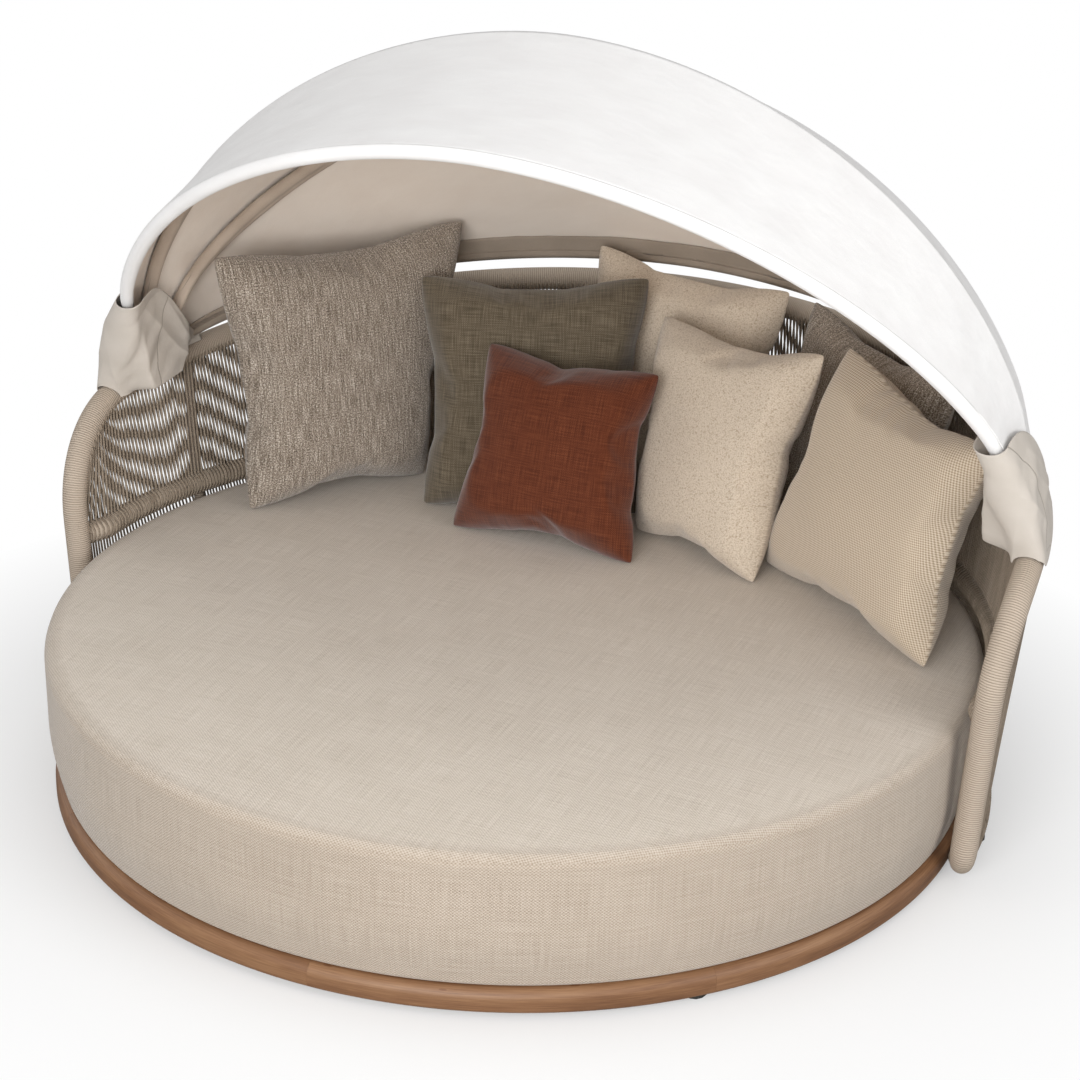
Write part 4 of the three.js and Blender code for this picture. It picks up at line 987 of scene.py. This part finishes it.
def net(name, side, seed, low_angle, high_angle, low_rail, low_ways, gap, strand):
    """Strands side by side from a lower rail (radius, height, tube) up to the top rail, on its
    outer side (1) or its inner side (-1). Each end is laid a little way round its rail:
    centre + (rail's tube + rope) x (cosine, sine) of the way round. The last two points at the
    top sink into the rail's winding. The strands' spacing is uneven by a small scatter."""
    scatter = 0.0003
    shift = np.random.default_rng(seed).normal(0, scatter, len(low_angle))
    top_way = -np.degrees(np.arccos(gap / (RAIL_TUBE + ROPE)))
    top_rail = rail_centre(high_angle)
    ends = [(low_angle, *low_rail, way) for way in low_ways]
    ends += [(high_angle, *top_rail, RAIL_TUBE - sunk, top_way + on)
             for on, sunk in ((0, 0.0), (18, 0.0016), (36, 0.0060))]
    path = []
    for angle, radius, height, tube, way in ends:
        reach, a = tube + ROPE, np.radians(way)
        path.append(polar(radius + side * reach * np.cos(a), angle + shift,
                          height + reach * np.sin(a)))
    path = np.stack(path, 1)
    path[:, :, 2] = np.maximum(path[:, :, 2], BASE_LOW + ROPE)
    return tubes(name, path, ROPE, 8, strand, side_hint=(0.013, 0.017, 0.02))


def outer_net(strand):
    """Strands that slant from the bottom rail to the top rail, outside the struts. They lie
    closely, in bays between the struts, so that light shows in rows through both nets."""
    slant_most, upright_end = 2.8, 12
    edges, counts = (-93.0, *map(float, STRUT_ANGLES), 93.0), (36, 75, 75, 75, 75, 36)
    bays = [np.linspace(a, b, n, endpoint=False) for a, b, n in zip(edges, edges[1:], counts)]
    angle = np.append(np.concatenate(bays), edges[-1])
    slant = slant_most * smoothstep((edges[-1] - np.abs(angle)) / upright_end)
    leave = np.degrees(np.arccos((NET_OUT + FOOT_RADIUS - BOTTOM_RADIUS) / (BOTTOM_TUBE + ROPE)))
    return net("rope_strands_outer", 1, 7, np.radians(angle + slant), np.radians(angle - slant),
               (BOTTOM_RADIUS, BOTTOM_HEIGHT, BOTTOM_TUBE), (-45, -15, 15, leave), NET_OUT, strand)


def inner_net(strand):
    """Strands that run straight up from round the mid rail to the top rail. Towards the legs
    they fan out a little, more at the foot."""
    end, strands, fan_start, low_fan, high_fan = 91.6, 323, 76, 3.2, 1.4
    angle = np.linspace(-end, end, strands)
    spread = np.sign(angle) * smoothstep((np.abs(angle) - fan_start) / 15.6)
    low_angle, high_angle = (np.radians(angle + fan * spread) for fan in (low_fan, high_fan))
    return net("rope_strands_inner", -1, 8, low_angle, high_angle,
               (mid_radius(low_angle), MID_HEIGHT, MID_TUBE), (-70, -40, -10, 20, 50, 78), NET_IN,
               strand)


# ---------------- the object
wound = wrapped_rope("wound_rope", 0.0050, (108, 95, 81), (188, 173, 157))
thick_wound = wrapped_rope("thick_wound_rope", 0.0108, (96, 83, 70), (182, 168, 152))
strand = rope_strand("net_rope", (112, 99, 85), (163, 149, 133))
white_cloth = canopy_finish("canopy_cloth", (229, 227, 226), (236, 235, 234))
# Inner side of the canopy cloth: the white cloth painted darker and warmer, as painted shade.
inside_shade = canopy_finish("canopy_inside_painted_shade", (229, 216, 203), (236, 225, 213))
# Pocket cloth: partly its own off-white, partly painted shade, so darker than the canopy cloth.
pocket_cloth_and_shade = canopy_finish("pocket_cloth_and_shade", (186, 178, 168), (197, 189, 180), 9.0, 0.6,
                             seams=((0.27, -0.12), (0.47, 0.10)))
# Lower and upper sleeves: the canopy's cloth painted darker, as painted shade under the canopy.
sleeve_painted_shade = canopy_finish("sleeve_painted_shade", (168, 152, 137), (186, 171, 156))
# Rear sleeve: the canopy's cloth painted darker still, as painted shade at the back.
rear_painted_shade = canopy_finish("rear_sleeve_painted_shade", (138, 126, 113), (158, 145, 131))
alloy = hard_finish("painted_alloy", 0.5, (128, 118, 108), (150, 139, 128), (6, 60, 60), 5.0,
                    height=0.0002, metallic=0.35, specular=0.5)
steel = hard_finish("brushed_steel", 0.32, (168, 168, 166), (196, 195, 192), (6, 60, 60), 5.0,
                    height=0.0002, metallic=0.35, specular=0.5)
rubber = hard_finish("glide_rubber", 0.8, (34, 33, 31), (52, 50, 47), (1, 1, 1), 300.0, 2.0)
board = hard_finish("deck_board", 0.7, (84, 74, 64), (112, 101, 90), (4, 60, 60), 4.0)
HARD_NODES = (  # how their names begin, and their finish
    (("subframe", "cross_beam", "half_beam", "frame_strap", *HOOP_NODES), alloy),
    (("pivot_",), steel),
    (("ring_glide", "frame_glide", "centre_foot"), rubber),
    (("deck_board",), board),
)
for starts, finish in HARD_NODES:
    for node in (node for name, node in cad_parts.items() if name.startswith(starts)):
        if not node.material_slots:
            node.data.materials.append(finish)
        for used in node.material_slots:
            used.material = finish

make_teak(teak_finish())
make_mattress(mattress_finish())
make_frame(wound, thick_wound, strand)

SEAM_ALLOWANCE, LENS_SHARE, POCKET_SHARE = 0.01, 0.72, 0.56
for k, node in enumerate(GORES):
    gore, length, width = make_gore(f"gore_{node[13:]}", k, [white_cloth, inside_shade])
    length, width = length + SEAM_ALLOWANCE, width + SEAM_ALLOWANCE
    thickened(gore, 0.0014, inner=1)
    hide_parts(node)
    fan_blend(gore, k)
for k, (name, cloth, inner) in enumerate((
        ("rear_sleeve", rear_painted_shade, False), ("lower_sleeve", sleeve_painted_shade, True),
        ("upper_sleeve", sleeve_painted_shade, True), ("front_sleeve", white_cloth, False))):
    sleeve, length, width = make_sleeve(name, k, [cloth, inside_shade if k == 3 else cloth], inner)
    thickened(sleeve, 0.0012)
    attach(sleeve, HOOPS[k][4])
for name, side in (("right", 1), ("left", -1)):
    pocket, length, height = make_pocket(f"pocket_{name}", side, [pocket_cloth_and_shade, pocket_cloth_and_shade])
    thickened(pocket, 0.0016)
    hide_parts(f"side_pocket_{name}")
    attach(pocket, "bed")
    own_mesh(pocket)
for row in PILLOWS:
    make_pillow(row, pillow_finish(row[1], row[0] + "_cloth", row[4] * 0.1))


# ---------------- floor, light and camera
def make_floor():
    """Pale floor. Seen by the camera it keeps its soft shadow near the object and turns plain
    white further out, by the distance from the middle."""
    size, shadow_end, white_start = 30.0, 0.6111, 1.7222
    mesh = bpy.data.meshes.new("floor")
    mesh.from_pydata([(-size, -size, 0), (size, -size, 0), (size, size, 0), (-size, size, 0)],
                     [], [(0, 1, 2, 3)])
    floor = placed("floor", mesh)
    f = Finish("pale_floor", 0.9, specular=0.1)
    seen = f.node("ShaderNodeLightPath").outputs["Is Camera Ray"]
    f.done(f.blend(seen, (170, 170, 170), (236, 236, 236)))
    fade = f.between(f.distance(*f.parts(f.place())), shadow_end, white_start)
    white = f.node("ShaderNodeEmission")
    white.inputs["Strength"].default_value = 1.0
    mixed = f.mixed_light(f.times(fade, seen), f.shader.outputs[0], white.outputs[0])
    f.feed(f.tree.nodes["Material Output"].inputs["Surface"], mixed)
    mesh.materials.append(f.material)


def make_light(name, place, aim, size, watts):
    """A round soft light that faces a point."""
    data = bpy.data.lights.new(name, "AREA")
    data.shape = "DISK"
    data.size = size
    data.energy = watts
    lamp = placed(name, data)
    lamp.location = place
    lamp.rotation_euler = (Vector(aim) - Vector(place)).to_track_quat("-Z", "Y").to_euler()


def make_world():
    """Even soft light; what the camera, reflections and clear pieces see of it is white."""
    world = bpy.data.worlds.new("studio")
    bpy.context.scene.world = world
    world.use_nodes = True
    w = Nodes(world.node_tree)
    soft, white = w.tree.nodes["Background"], w.node("ShaderNodeBackground")
    for light, strength in ((soft, 0.46), (white, 1.0)):
        light.inputs["Color"].default_value = (1, 1, 1, 1)
        light.inputs["Strength"].default_value = strength
    path = w.node("ShaderNodeLightPath").outputs
    seen = w.math("MAXIMUM", path["Is Camera Ray"], path["Is Glossy Ray"])
    seen = w.math("MAXIMUM", seen, path["Is Transmission Ray"])
    mixed = w.mixed_light(seen, soft.outputs[0], white.outputs[0])
    w.feed(w.tree.nodes["World Output"].inputs["Surface"], mixed)


def make_camera():
    """The photograph's camera: it looks along yaw and pitch, then turns by roll."""
    ahead = np.array([np.sin(YAW) * np.cos(PITCH), np.cos(YAW) * np.cos(PITCH), -np.sin(PITCH)])
    right = np.array([np.cos(YAW), -np.sin(YAW), 0.0])
    up = np.cross(right, ahead)
    right, up = right * np.cos(ROLL) + up * np.sin(ROLL), up * np.cos(ROLL) - right * np.sin(ROLL)
    data = bpy.data.cameras.new("camera")
    data.lens, data.sensor_width = CAMERA_LENS, 36.0
    camera = placed("camera", data)
    matrix = np.eye(4)
    matrix[:3] = np.stack([right, up, -ahead, CAMERA_PLACE], 1)
    camera.matrix_world = Matrix(matrix.tolist())
    bpy.context.scene.camera = camera


make_floor()
make_light("front", (1.0, -5.2, 2.1), (-0.1, 0.5, 0.9), 3.4, 255)
make_light("right", (4.6, -1.4, 1.9), (0, 0, 0.6), 3.0, 78)
make_light("left", (-4.6, -0.8, 2.0), (0, 0, 0.6), 3.0, 16)
make_light("above", (0.2, 0.4, 4.8), (0, 0.3, 0.4), 2.4, 24)
make_world()
make_camera()
scene = bpy.context.scene
scene.view_settings.view_transform = "Standard"
